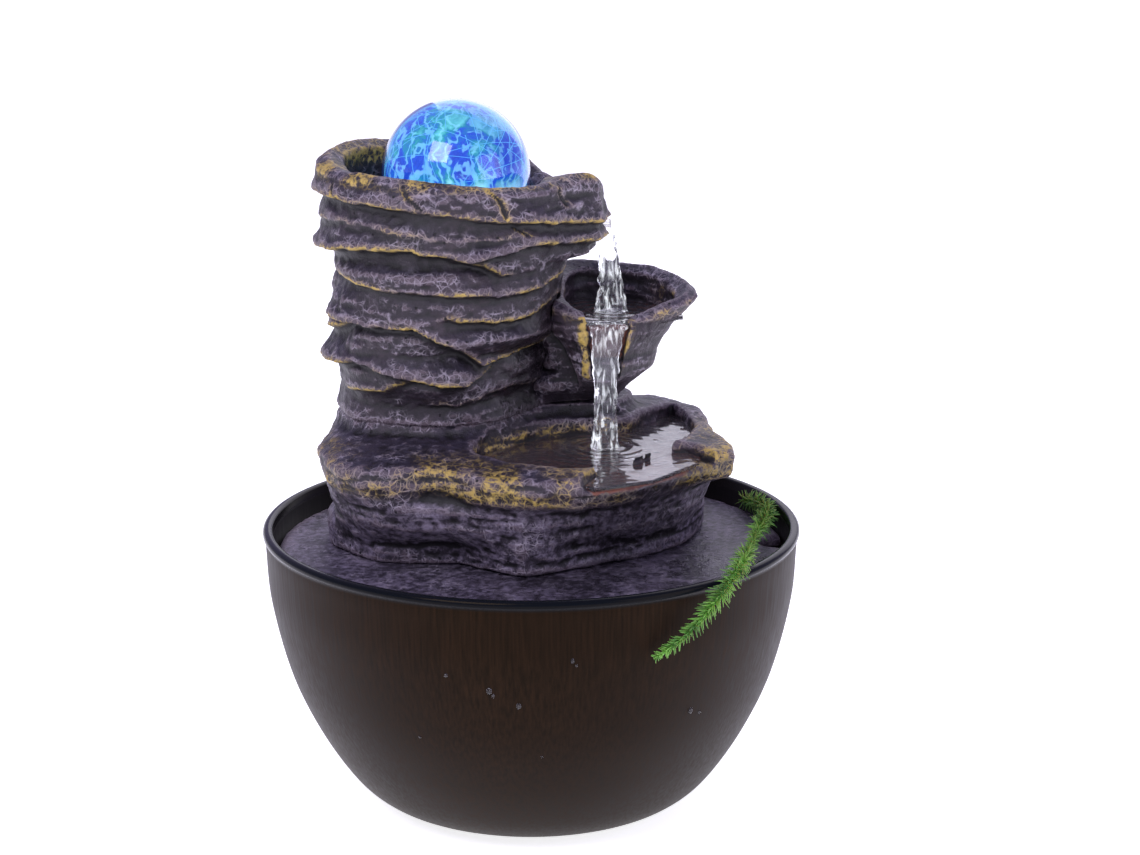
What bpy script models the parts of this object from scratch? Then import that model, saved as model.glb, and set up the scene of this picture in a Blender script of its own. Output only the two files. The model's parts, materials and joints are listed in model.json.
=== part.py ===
"""Tabletop water fountain: bowl, submersible pump and a three-basin rock with a lit glass ball.

Metres, +Z up. The origin is the centre of the bowl's underside, on the surface it stands on.
+X is the side with the small middle basin, -Y is the front.
"""
import math

import bmesh
import bpy
from mathutils import Matrix, Vector

mm = 0.001
gap = 0.3 * mm                       # clearance between pieces that touch

# bowl
bowlRadius = 105 * mm
bowlHeight = 113 * mm
bowlWall = 3.5 * mm
floorTop = 4.5 * mm                  # inside floor of the bowl
baseRecess = 2.0 * mm
footRadius = 50 * mm
ledgeTop = 98 * mm                   # the plate rests on this ledge
ledgeInner = 96 * mm
padRadius = 6 * mm
padCircle = 37 * mm

# plate under the rock
plateRadius = 99.5 * mm
plateTop = 104 * mm
plateBottom = ledgeTop + gap
notchRadius = 8 * mm

# rock
rockSides = 44
stumpTop = 155 * mm
trunkTop = 196 * mm
poolFloor = 131 * mm
lipTop = 141.5 * mm
basinFloor = 204 * mm
channelFloor = 226 * mm
middleFloor = 184 * mm

# glass ball and the lamp under it
ballRadius = 28.8 * mm
ballCentre = Vector((-28.7 * mm, 12 * mm, 248.8 * mm))
lampRadius = 16.6 * mm
lampTop = 219.2 * mm
ringInner = 17.6 * mm
ringOuter = 20.8 * mm
ringTop = 226 * mm

# riser tube and lamp lead
tubeRadius = 6 * mm
tubeBore = 4.2 * mm
riserX = -50 * mm
riserY = 32 * mm
tubeTop = 211 * mm
leadRadius = 0.9 * mm

# pump, on the bowl's floor; its shaft lies along X
pumpHalfLength = 22 * mm
pumpHalfWidth = 17 * mm
pumpBottom = 10 * mm
pumpTop = 38 * mm
shaftZ = 23 * mm
shaftRadius = 1.0 * mm
shaftHole = 1.06 * mm
wellRadius = 7.6 * mm
spigotX = -27.5 * mm
spigotRadius = 3.9 * mm
spigotTop = 48.5 * mm
chamberFront = -33 * mm
strainerFront = -46 * mm
socketX = 12 * mm
plugRadius = 2.9 * mm


for item in list(bpy.data.objects):
    bpy.data.objects.remove(item, do_unlink=True)

partCollection = bpy.data.collections.new("tabletop_fountain")
cutterCollection = bpy.data.collections.new("cutters")
bpy.context.scene.collection.children.link(partCollection)
bpy.context.scene.collection.children.link(cutterCollection)


# ---------------------------------------------------------------- materials and objects

def material(name, colour, roughness, metallic=0.0):
    found = bpy.data.materials.get(name)
    if found:
        return found
    made = bpy.data.materials.new(name)
    made.use_nodes = True
    shader = made.node_tree.nodes["Principled BSDF"]
    shader.inputs["Base Color"].default_value = (*colour, 1.0)
    shader.inputs["Roughness"].default_value = roughness
    shader.inputs["Metallic"].default_value = metallic
    return made


def rockPaint():
    return material("painted_polyresin", (0.055, 0.035, 0.042), 0.7)


def bowlPlastic():
    return material("bowl_plastic", (0.03, 0.021, 0.018), 0.35)


def blackPlastic():
    return material("black_plastic", (0.015, 0.015, 0.016), 0.45)


def blackRubber():
    return material("black_rubber", (0.012, 0.012, 0.012), 0.8)


def place(name, data, look, smoothAngle=35):
    made = bpy.data.objects.new(name, data)
    partCollection.objects.link(made)
    data.materials.append(look)
    if smoothAngle and data.id_type == "MESH":
        data.shade_smooth()
        data.set_sharp_from_angle(angle=math.radians(smoothAngle))
    return made


def cutter(name, data):
    made = bpy.data.objects.new(name, data)
    cutterCollection.objects.link(made)
    made.hide_render = True
    made.display_type = "WIRE"
    return made


def meshFrom(name, bm):
    bmesh.ops.recalc_face_normals(bm, faces=bm.faces)
    data = bpy.data.meshes.new(name)
    bm.to_mesh(data)
    bm.free()
    return data


def combine(target, tool, operation):
    change = target.modifiers.new(tool.name, "BOOLEAN")
    change.operation = operation
    change.solver = "EXACT"
    change.object = tool


def cut(target, *tools):
    for tool in tools:
        combine(target, tool, "DIFFERENCE")


def join(target, *tools):
    for tool in tools:
        combine(target, tool, "UNION")


# ---------------------------------------------------------------- shapes

def boxMesh(name, low, high, bevel=0.0):
    bm = bmesh.new()
    bmesh.ops.create_cube(bm, size=1.0)
    size = Vector(high) - Vector(low)
    bmesh.ops.scale(bm, verts=bm.verts, vec=size)
    bmesh.ops.translate(bm, verts=bm.verts, vec=(Vector(high) + Vector(low)) / 2)
    if bevel:
        bmesh.ops.bevel(bm, geom=bm.edges[:], offset=bevel, segments=2, affect="EDGES", profile=0.5)
    return meshFrom(name, bm)


def rodMesh(name, start, end, radius, sides=24, endRadius=None):
    """A cylinder, or a cone, between two points."""
    start, end = Vector(start), Vector(end)
    bm = bmesh.new()
    bmesh.ops.create_cone(bm, cap_ends=True, segments=sides, radius1=radius,
                          radius2=radius if endRadius is None else endRadius, depth=(end - start).length)
    turn = Vector((0, 0, 1)).rotation_difference(end - start).to_matrix().to_4x4()
    bmesh.ops.transform(bm, verts=bm.verts, matrix=Matrix.Translation((start + end) / 2) @ turn)
    return meshFrom(name, bm)


def turned(name, profile, centre, look, steps, axis="Z"):
    """A closed profile of (radius, height) points, outer side first from the top, turned about Z."""
    bm = bmesh.new()
    corners = [bm.verts.new((radius, 0, height)) for radius, height in profile]
    closed = profile[0][0] > 0 or profile[-1][0] > 0
    for first, second in zip(corners, corners[1:]):
        bm.edges.new((first, second))
    if closed:
        bm.edges.new((corners[-1], corners[0]))
    data = bpy.data.meshes.new(name)
    bm.to_mesh(data)
    bm.free()
    made = place(name, data, look, smoothAngle=0)
    made.location = centre
    if axis == "X":
        made.rotation_euler = (0, math.radians(90), 0)
    screw = made.modifiers.new("turn", "SCREW")
    screw.steps = steps
    screw.render_steps = steps
    screw.use_merge_vertices = True
    screw.merge_threshold = 0.00001
    screw.use_smooth_shade = True
    return made


def throughPoints(points, perSpan, closed):
    """Points on a smooth curve through the given ones (Catmull-Rom)."""
    points = [Vector(point) for point in points]
    count = len(points)
    spans = count if closed else count - 1
    curve = []
    for span in range(spans):
        if closed:
            a, b, c, d = [points[(span + step) % count] for step in (-1, 0, 1, 2)]
        else:
            a = points[max(span - 1, 0)]
            b, c = points[span], points[span + 1]
            d = points[min(span + 2, count - 1)]
        for step in range(perSpan):
            t = step / perSpan
            curve.append(0.5 * (2 * b + (c - a) * t + (2 * a - 5 * b + 4 * c - d) * t * t
                                + (3 * b - a - 3 * c + d) * t ** 3))
    if not closed:
        curve.append(points[-1])
    return curve


def ring(points, centre, z=None, grow=0.0):
    """A closed outline in millimetres, read at equal angles about its centre."""
    if z is not None:
        points = [(x, y, z) for x, y in points]
    middle = Vector((centre[0], centre[1], 0))
    polar = []
    for point in throughPoints(points, 10, closed=True):
        flat = Vector((point.x, point.y, 0)) - middle
        polar.append((math.atan2(flat.y, flat.x), flat.length, point.z))
    polar.sort()
    polar = [(polar[-1][0] - 2 * math.pi, *polar[-1][1:]), *polar, (polar[0][0] + 2 * math.pi, *polar[0][1:])]
    loop = []
    span = 0
    for side in range(rockSides):
        angle = -math.pi + 2 * math.pi * side / rockSides
        while polar[span + 1][0] < angle:
            span += 1
        share = (angle - polar[span][0]) / max(polar[span + 1][0] - polar[span][0], 1e-9)
        radius = polar[span][1] + share * (polar[span + 1][1] - polar[span][1]) + grow
        height = polar[span][2] + share * (polar[span + 1][2] - polar[span][2])
        x, y = centre[0] + radius * math.cos(angle), centre[1] + radius * math.sin(angle)
        loop.append(Vector((x, y, height)) * mm)
    return loop


def loft(name, loops, closed=False):
    """Skin between outlines; the ends are capped, or joined to each other for a sleeve."""
    bm = bmesh.new()
    rows = [[bm.verts.new(point) for point in loop] for loop in loops]
    pairs = list(zip(rows, rows[1:]))
    if closed:
        pairs.append((rows[-1], rows[0]))
    for lower, upper in pairs:
        for side in range(rockSides):
            after = (side + 1) % rockSides
            bm.faces.new((lower[side], lower[after], upper[after], upper[side]))
    if not closed:
        bm.faces.new(rows[0])
        bm.faces.new(rows[-1])
    bmesh.ops.triangulate(bm, faces=bm.faces)
    return meshFrom(name, bm)


def wireMesh(name, points, radius, sides=2):
    """A round wire along a list of points, as a closed mesh."""
    curve = bpy.data.curves.new(name, "CURVE")
    curve.dimensions = "3D"
    curve.bevel_depth = radius
    curve.bevel_resolution = sides
    curve.use_fill_caps = True
    spline = curve.splines.new("POLY")
    spline.points.add(len(points) - 1)
    for slot, point in zip(spline.points, points):
        slot.co = (*point, 1)
    guide = bpy.data.objects.new(name + "_curve", curve)
    cutterCollection.objects.link(guide)
    bpy.context.view_layer.update()
    shape = bpy.data.meshes.new_from_object(guide.evaluated_get(bpy.context.evaluated_depsgraph_get()))
    bpy.data.objects.remove(guide, do_unlink=True)
    bm = bmesh.new()
    bm.from_mesh(shape)
    bmesh.ops.remove_doubles(bm, verts=bm.verts, dist=0.00001)
    bpy.data.meshes.remove(shape)
    return meshFrom(name, bm)


# ---------------------------------------------------------------- bowl and its pads

def buildBowl():
    outerWall = [(104.0, 106), (102.2, 84.7), (95.3, 56.5), (85.2, 33.9), (73.5, 15.8), (64, 6.8), (54, 2.3)]
    curved = throughPoints([(radius, 0, height) for radius, height in outerWall], 2, closed=False)
    outer = [(point.x * mm, point.z * mm) for point in curved]
    # the rim bead, as (in from the widest, down from the top)
    bead = [(3.4, 0), (1.4, 0), (0.4, 0.5), (0, 1.4), (0, 2.4), (0.4, 3.1), (0.9, 3.5)]
    rim = [(bowlRadius - inward * mm, bowlHeight - down * mm) for inward, down in bead]
    underside = [(footRadius, 0.5 * mm), (footRadius - 3 * mm, 0.5 * mm), (footRadius - 5 * mm, baseRecess),
                 (0, baseRecess)]
    inner = [(radius - bowlWall - 0.4 * mm, height) for radius, height in reversed(outer)
             if 10 * mm < height < 90 * mm]
    inside = [(0, floorTop), (57 * mm, floorTop), (61.5 * mm, 6.6 * mm), *inner, (99.2 * mm, 91 * mm),
              (ledgeInner, 95.5 * mm), (ledgeInner, ledgeTop), (100.6 * mm, ledgeTop), (100.9 * mm, 112.4 * mm)]
    turned("bowl", rim + outer + underside + inside, (0, 0, 0), bowlPlastic(), 52)
    for index in range(4):
        angle = math.radians(45 + 90 * index)
        spot = (padCircle * math.cos(angle), padCircle * math.sin(angle), 0)
        pad = [(0, baseRecess - gap), (padRadius, baseRecess - gap), (padRadius, 0.4 * mm),
               (padRadius - 0.4 * mm, 0), (0, 0)]
        turned(f"foot_pad_{index + 1}", pad, spot, blackRubber(), 24)


def buildPlate():
    profile = [(0, plateTop), (plateRadius - 2 * mm, plateTop), (plateRadius, plateTop - 1.2 * mm),
               (plateRadius, plateBottom), (0, plateBottom)]
    plate = turned("base_plate", profile, (0, 0, 0), rockPaint(), 72)
    low, high = plateBottom - 2 * mm, plateTop + 2 * mm
    drain = rodMesh("drain_notch", (plateRadius - 2 * mm, 2 * mm, low), (plateRadius - 2 * mm, 2 * mm, high),
                    notchRadius)
    cable = rodMesh("cable_notch", (0, plateRadius - 2 * mm, low), (0, plateRadius - 2 * mm, high), notchRadius)
    hole = rodMesh("riser_hole", (-44 * mm, 27 * mm, low), (-44 * mm, 27 * mm, high), 20 * mm, 32)
    for data in (drain, cable, hole):
        cut(plate, cutter(data.name, data))


# ---------------------------------------------------------------- rock

slabOutline = [(-83, 4), (-82, -16), (-75, -36), (-65, -45), (-52, -48), (-35, -46), (-18, -57), (3, -61),
               (23, -62), (41, -50), (64, -26), (75, -24), (80, -14), (78, 2), (74, 14), (71, 35), (70, 50),
               (64, 62), (48, 74), (20, 78), (-10, 74), (-40, 66), (-66, 48), (-80, 26)]
skirtTop = [(-80, 8), (-79, -15), (-70, -33), (-56, -44), (-38, -46), (-20, -51), (-4, -54), (12, -52),
            (24, -46), (42, -37), (63, -15), (72, 4), (70, 30), (64, 52), (46, 67), (12, 72), (-30, 68),
            (-62, 50), (-77, 30)]
skirtFoot = [(-80, 8), (-79, -5), (-70, -18), (-58, -28), (-42, -31), (-28, -32), (-14, -42), (-3, -48),
             (11, -42), (30, -30), (46, -20), (59, -5), (67, 17), (68, 36), (60, 52), (44, 62), (10, 68),
             (-30, 64), (-62, 48), (-76, 28)]
stumpOutline = [(-73, 14), (-66, -4), (-50, -10), (-35, -12), (-20, -8), (-8, 6), (2, 17), (13, 22), (25, 23),
                (36, 28), (40, 42), (32, 54), (10, 62), (-20, 64), (-50, 58), (-68, 42), (-75, 28)]
poolOutline = [(-22, -24), (-19, -12), (-7, 2), (4, 12), (14, 17), (26, 18), (38, 22), (45, 36), (49, 54),
               (55, 56), (60, 44), (63, 30), (64, 16), (59, -2), (42, -23), (26, -41), (11, -45), (-4, -39),
               (-15, -32)]
lipOutline = [(21, -72), (24, -44), (40, -27), (57, -8), (72, -22), (80, -42), (52, -78)]

trunkFoot = [(-73, 16), (-66, -2), (-52, -8), (-35, -11), (-20, -7), (-9, 6), (-1, 17), (3, 32), (-1, 47),
             (-15, 58), (-45, 54), (-66, 42), (-74, 30)]
trunkMiddle = [(-80, 14), (-72, -8), (-56, -20), (-38, -24), (-20, -19), (-6, -5), (3, 10), (7, 28), (2, 46),
               (-16, 56), (-46, 56), (-70, 42), (-80, 28)]
trunkUpper = [(-76.5, 12), (-70, -12), (-54, -25), (-34, -30), (-13, -24), (1, -11), (7, 6), (9, 26), (2, 46),
              (-16, 56), (-46, 55), (-68, 40), (-77, 26)]
basinNeck = [(-75.3, 12), (-69, -13), (-54, -27), (-33, -31), (-12, -26), (4, -12), (11, 6), (11, 26),
             (3, 45), (-15, 55), (-45, 54), (-67, 39), (-75.5, 26)]
basinWall = [(-82, 10), (-75.5, -10), (-66, -21), (-48, -31), (-25.5, -34), (-10, -31.5), (4, -24), (15, -10),
             (25, -4), (28, 8), (28, 20), (22, 28), (12, 34), (6, 42), (-2, 50), (-15, 56), (-35, 59),
             (-58, 55), (-72, 42), (-80, 26)]
basinRimZ = [256, 253.4, 253.8, 253, 251.1, 250, 249.6, 250.8, 251.6, 247, 231, 233, 243.5, 245.3, 251.5, 254,
             256, 256.3, 257.9, 257.5]
basinInside = [(-72, 12), (-66, -5), (-58, -14), (-44, -21), (-25, -24), (-10, -21.5), (0, -14), (4, -3),
               (5, 8), (5, 22), (0, 34), (-8, 42), (-22, 48), (-38, 49), (-55, 45), (-66, 34), (-71, 24)]

middleRim = [(64, 9, 203), (62, 24, 205.5), (51, 42, 206.7), (35, 50, 207.2), (18, 53, 208), (2, 48, 207),
             (-4, 30, 205), (2, 10, 202), (9, 0, 200.5), (19, -5, 197), (30, -7, 195.5), (41, -5, 196),
             (54, 0, 200)]
middleWaist = [(58, 12), (56, 28), (46, 43), (32, 48), (15, 48), (0, 40), (-2, 20), (8, 3), (18, -4), (29, -8),
               (40, -6), (50, 2)]
middleLip = [(54, 16), (48, 32), (36, 42), (20, 44), (4, 38), (0, 24), (8, 12), (17, 0), (22, -6), (34, -7),
             (39, -3), (47, 5)]
middleNeck = [(45, 24), (38, 36), (26, 43), (8, 46), (-6, 42), (-8, 24), (4, 13), (14, 12), (24, 12), (36, 13),
              (42, 17)]
middleFoot = [(37, 34), (33, 44), (20, 50), (4, 52), (-6, 44), (-6, 28), (2, 19), (11, 22), (22, 25), (32, 27)]
middleInside = [(56, 10), (54, 24), (46, 36), (33, 43), (19, 44), (14, 34), (13, 18), (17, 6), (25, 1),
                (38, 1), (48, 4)]


def buildLowerBasin():
    slabCentre = (-3, 8)
    stumpCentre = (-22, 26)
    top = stumpTop / mm
    solid = loft("lower_basin", [
        ring(skirtFoot, slabCentre, plateTop / mm + 0.3),
        ring(skirtFoot, slabCentre, 113, grow=1),
        ring(skirtTop, slabCentre, 121, grow=-4),
        ring(skirtTop, slabCentre, 131),
        ring(slabOutline, slabCentre, 134.5, grow=-3),
        ring(slabOutline, slabCentre, 140),
        ring(slabOutline, slabCentre, 144.5, grow=-0.5),
        ring(slabOutline, slabCentre, 146, grow=-3),
        ring(stumpOutline, stumpCentre, 150, grow=3),
        ring(stumpOutline, stumpCentre, top)])
    basin = place("lower_basin", solid, rockPaint())
    poolCentre = (30, -5)
    pool = loft("pool", [ring(poolOutline, poolCentre, poolFloor / mm, grow=-4),
                         ring(poolOutline, poolCentre, 143),
                         ring(poolOutline, poolCentre, 158, grow=1.0)])
    lip = loft("overflow_lip", [ring(lipOutline, (50, -42), lipTop / mm), ring(lipOutline, (50, -42), 152)])
    inside = loft("underside_hollow", [ring(skirtFoot, slabCentre, 100, grow=-9),
                                       ring(skirtFoot, slabCentre, 122, grow=-12)])
    bore = rodMesh("stump_bore", (-45 * mm, 28 * mm, 118 * mm), (-45 * mm, 28 * mm, 160 * mm), 15 * mm, 32)
    for data in (pool, lip, inside, bore):
        cut(basin, cutter(data.name, data))


def buildTrunk():
    centre = (-34, 18)
    wall = 9
    low = stumpTop / mm + 0.3
    high = trunkTop / mm
    outer = [(trunkFoot, low, 0), (trunkFoot, 162, 1), (trunkMiddle, 169, -3), (trunkMiddle, 176, 0),
             (trunkMiddle, 183, -2), (trunkUpper, 190, 0), (trunkUpper, high, -1)]
    inner = [(trunkUpper, high, -wall - 1), (trunkMiddle, 176, -wall - 2), (trunkFoot, low, -wall)]
    loops = [ring(points, centre, z, grow) for points, z, grow in outer + inner]
    place("trunk", loft("trunk", loops, closed=True), rockPaint())


def buildUpperBasin():
    centre = (-28, 14)
    rimPoints = [(x, y, z) for (x, y), z in zip(basinWall, basinRimZ)]
    rimSide = [(x, y, z - 3) for x, y, z in rimPoints]
    rimMiddle = ring(rimPoints, centre, grow=-4)
    innerEdge = ring(basinInside, centre, 248)
    for inside, crest in zip(innerEdge, rimMiddle):
        inside.z = crest.z - 3 * mm                  # the inner edge follows the crest
    solid = loft("upper_basin", [
        ring(trunkUpper, centre, trunkTop / mm + 0.3, grow=-1),
        ring(trunkUpper, centre, 204, grow=1),
        ring(basinNeck, centre, 212),
        ring(basinNeck, centre, 216.5, grow=2),
        ring(basinWall, centre, 219.5, grow=-3),
        ring(basinWall, centre, 223.5, grow=-0.5),
        ring(rimSide, centre),
        rimMiddle,
        innerEdge,
        ring(basinInside, centre, 222),
        ring(basinInside, centre, basinFloor / mm + 3, grow=-2),
        ring(basinInside, centre, basinFloor / mm, grow=-4)])
    basin = place("upper_basin", solid, rockPaint())
    channel = boxMesh("spout_channel", (-6 * mm, 9 * mm, channelFloor), (36 * mm, 23.5 * mm, 262 * mm), 3 * mm)
    riserHole = rodMesh("riser_hole_top", (riserX, riserY, 190 * mm), (riserX, riserY, 215 * mm), 6.4 * mm)
    x, y = ballCentre.x, ballCentre.y
    leadHole = rodMesh("lead_hole", (x, y, 190 * mm), (x, y, 210 * mm), 2.5 * mm, 16)
    hollow = [ring(trunkUpper, centre, height, grow=-11) for height in (192, 198)]
    under = loft("floor_hollow", hollow)
    for data in (channel, riserHole, leadHole, under):
        cut(basin, cutter(data.name, data))


def buildMiddleBasin():
    centre = (28, 22)
    low = stumpTop / mm + 0.3
    rimSide = [(x, y, z - 2.5) for x, y, z in middleRim]
    crest = ring(middleRim, centre, grow=-3)
    innerEdge = ring(middleInside, centre, 200)
    for inside, peak in zip(innerEdge, crest):
        inside.z = peak.z - 3 * mm
    solid = loft("middle_basin", [
        ring(middleFoot, (14, 36), low),
        ring(middleNeck, (20, 28), 164),
        ring(middleLip, centre, 169.5, grow=-3),
        ring(middleLip, centre, 172),
        ring(middleLip, centre, 180),
        ring(middleWaist, centre, 190),
        ring(rimSide, centre),
        crest,
        innerEdge,
        ring(middleInside, centre, 190, grow=-1),
        ring(middleInside, centre, middleFloor / mm, grow=-4)])
    basin = place("middle_basin", solid, rockPaint())
    trunkCentre = (-34, 18)
    basinCentre = (-28, 14)
    clear = 0.6
    keepOff = loft("trunk_clearance", [
        ring(trunkFoot, trunkCentre, 150, clear), ring(trunkFoot, trunkCentre, 162, 1 + clear),
        ring(trunkMiddle, trunkCentre, 169, clear - 3), ring(trunkMiddle, trunkCentre, 176, clear),
        ring(trunkMiddle, trunkCentre, 183, clear - 2), ring(trunkUpper, trunkCentre, 190, clear),
        ring(trunkUpper, basinCentre, 196, 1 + clear), ring(trunkUpper, basinCentre, 204, 1.5 + clear),
        ring(basinNeck, basinCentre, 212, 1 + clear), ring(basinNeck, basinCentre, 215, 1 + clear)])
    sill = loft("spout_sill", [
        ring([(21, -2), (30, -3), (38, -2), (38, 6), (30, 8), (21, 6)], (29.5, 2), 191.5),
        ring([(20, -12), (30, -13), (40, -12), (40, 6), (30, 8), (20, 6)], (30, -2), 212)])
    chute = loft("spout_chute", [
        ring([(25, -12), (29, -13), (34, -12), (34, -4.5), (29, -4), (25, -4.5)], (29.3, -8), 166),
        ring([(21.5, -12), (30, -13), (38, -12), (38, -1.5), (30, -1), (21.5, -1.5)], (29.7, -7), 193)])
    for data in (keepOff, sill, chute):
        cut(basin, cutter(data.name, data))


# ---------------------------------------------------------------- ball, seat ring and lamp

def buildBall():
    bm = bmesh.new()
    bmesh.ops.create_uvsphere(bm, u_segments=28, v_segments=16, radius=ballRadius)
    ball = place("glass_ball", meshFrom("glass_ball", bm), material("glass", (0.05, 0.25, 0.6), 0.05), 180)
    ball.location = ballCentre

    bottom = basinFloor + gap
    ringProfile = [(ringInner, ringTop), (ringInner + 1.2 * mm, ringTop + 0.2 * mm), (ringOuter, ringTop),
                   (ringOuter, bottom), (ringInner, bottom)]
    centre = (ballCentre.x, ballCentre.y, 0)
    seat = turned("ball_seat_ring", ringProfile, centre, blackPlastic(), 36)
    for index in range(3):
        low = (-3.5 * mm, 0, bottom - 1 * mm)
        slot = cutter(f"seat_slot_{index + 1}", boxMesh("seat_slot", low, (3.5 * mm, 30 * mm, ringTop - 5 * mm)))
        slot.location = centre
        slot.rotation_euler = (0, 0, math.radians(120 * index + 20))
        cut(seat, slot)


def buildLamp():
    bottom = basinFloor + gap
    lensBottom = lampTop - 2.6 * mm
    inner = lampRadius - 1.6 * mm
    centre = (ballCentre.x, ballCentre.y, 0)
    cup = [(inner, lensBottom - gap), (lampRadius, lensBottom - gap), (lampRadius, bottom),
           (1.6 * mm, bottom), (1.6 * mm, bottom + 1.6 * mm), (inner, bottom + 1.6 * mm)]
    turned("lamp_housing", cup, centre, blackPlastic(), 32)
    lens = [(0, lampTop), (lampRadius - 2 * mm, lampTop), (lampRadius, lampTop - 1.6 * mm), (lampRadius, lensBottom),
            (0, lensBottom)]
    turned("lamp_lens", lens, centre, material("clear_lens", (0.8, 0.85, 0.9), 0.1), 32)
    seal = [(inner - gap, lensBottom - gap), (inner - gap, lensBottom - 1.6 * mm),
            (inner - 1.6 * mm, lensBottom - 1.6 * mm), (inner - 1.6 * mm, lensBottom - gap)]
    turned("lamp_seal", seal, centre, blackRubber(), 32)
    boardTop = bottom + 4.6 * mm
    board = [(0, boardTop), (inner - gap, boardTop), (inner - gap, boardTop - 1.4 * mm), (0, boardTop - 1.4 * mm)]
    turned("lamp_board", board, centre, material("circuit_board", (0.02, 0.12, 0.05), 0.5), 32)
    for index in range(4):
        angle = math.radians(90 * index + 45)
        spot = (centre[0] + 7 * mm * math.cos(angle), centre[1] + 7 * mm * math.sin(angle), 0)
        dome = [(0, boardTop + 5 * mm), (1.6 * mm, boardTop + 4.3 * mm), (2.4 * mm, boardTop + 2.6 * mm),
                (2.4 * mm, boardTop + gap), (0, boardTop + gap)]
        turned(f"led_{index + 1}", dome, spot, material("led_resin", (0.7, 0.8, 0.95), 0.15), 12)


def buildLead():
    top = (ballCentre.x, ballCentre.y, basinFloor)
    route = [top, (ballCentre.x, ballCentre.y, 190 * mm), (-35 * mm, 19 * mm, 172 * mm),
             (-38 * mm, 22 * mm, 150 * mm), (-38 * mm, 22 * mm, 112 * mm), (-30 * mm, 17 * mm, 92 * mm),
             (-6 * mm, 8 * mm, 76 * mm), (9 * mm, 1.5 * mm, 66 * mm), (socketX, 0, 51.8 * mm)]
    place("lamp_lead", wireMesh("lamp_lead", throughPoints(route, 4, closed=False), leadRadius), blackRubber())
    plug = [(0, 51.5 * mm), (3.2 * mm, 51.5 * mm), (4.4 * mm, 50 * mm), (4.4 * mm, 44.3 * mm),
            (plugRadius, 44.3 * mm), (plugRadius, 38.5 * mm), (0, 38.5 * mm)]
    turned("lamp_plug", plug, (socketX, 0, 0), blackPlastic(), 20)


# ---------------------------------------------------------------- riser tube

def buildRiser():
    bottom = 40 * mm
    bend = [(spigotX, 0, bottom), (spigotX, 0, 49 * mm), (spigotX, 0, 57 * mm), (-33 * mm, 8 * mm, 74 * mm),
            (-45 * mm, 25 * mm, 93 * mm), (riserX, riserY, 112 * mm), (riserX, riserY, 140 * mm),
            (riserX, riserY, 180 * mm), (riserX, riserY, tubeTop)]
    route = throughPoints(bend, 3, closed=False)
    vinyl = material("clear_hose", (0.6, 0.62, 0.6), 0.3)
    tube = place("riser_tube", wireMesh("riser_tube", route, tubeRadius, 4), vinyl)
    route = [route[0] - Vector((0, 0, 2 * mm)), *route[1:-1], route[-1] + Vector((0, 0, 2 * mm))]
    cut(tube, cutter("riser_bore", wireMesh("riser_bore", route, tubeBore, 4)))
    collar = [(6.3 * mm, basinFloor + 3 * mm), (8 * mm, basinFloor + 2.4 * mm), (8 * mm, basinFloor + gap),
              (6.3 * mm, basinFloor + gap)]
    turned("riser_grommet", collar, (riserX, riserY, 0), blackRubber(), 24)


# ---------------------------------------------------------------- pump

def buildPumpBody():
    low = (-pumpHalfLength, -pumpHalfWidth, pumpBottom)
    block = place("pump_body", boxMesh("pump_body", low, (pumpHalfLength, pumpHalfWidth, pumpTop), 2 * mm),
                  blackPlastic())
    boss = rodMesh("socket_boss", (socketX, 0, pumpTop - 4 * mm), (socketX, 0, 44 * mm), 5.6 * mm)
    join(block, cutter("socket_boss", boss))
    well = rodMesh("rotor_well", (-30 * mm, 0, shaftZ), (9 * mm, 0, shaftZ), wellRadius, 32)
    bushWell = rodMesh("rear_bush_well", (0, 0, shaftZ), (12.2 * mm, 0, shaftZ), 2.6 * mm)
    socket = rodMesh("lamp_socket_bore", (socketX, 0, 36.6 * mm), (socketX, 0, 46 * mm), 3.3 * mm)
    gland = rodMesh("gland_seat", (pumpHalfLength - 5 * mm, 8 * mm, 31 * mm), (30 * mm, 8 * mm, 31 * mm), 3.6 * mm)
    for data in (well, bushWell, socket, gland):
        cut(block, cutter(data.name, data))
    sleeve = [(0, 7 * mm), (2.4 * mm, 7 * mm), (3.2 * mm, 0), (3.2 * mm, -4.6 * mm), (0, -4.6 * mm)]
    turned("cable_gland", sleeve, (pumpHalfLength, 8 * mm, 31 * mm), blackRubber(), 20, axis="X")
    for index, (x, y) in enumerate([(-16, -11), (16, -11), (16, 11), (-16, 11)]):
        cup = [(0, pumpBottom - gap), (3.2 * mm, pumpBottom - gap), (2.4 * mm, 8 * mm), (4 * mm, 6.6 * mm),
               (6.8 * mm, floorTop + gap), (0, floorTop + gap)]
        turned(f"suction_cup_{index + 1}", cup, (x * mm, y * mm, 0), blackRubber(), 16)


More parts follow.
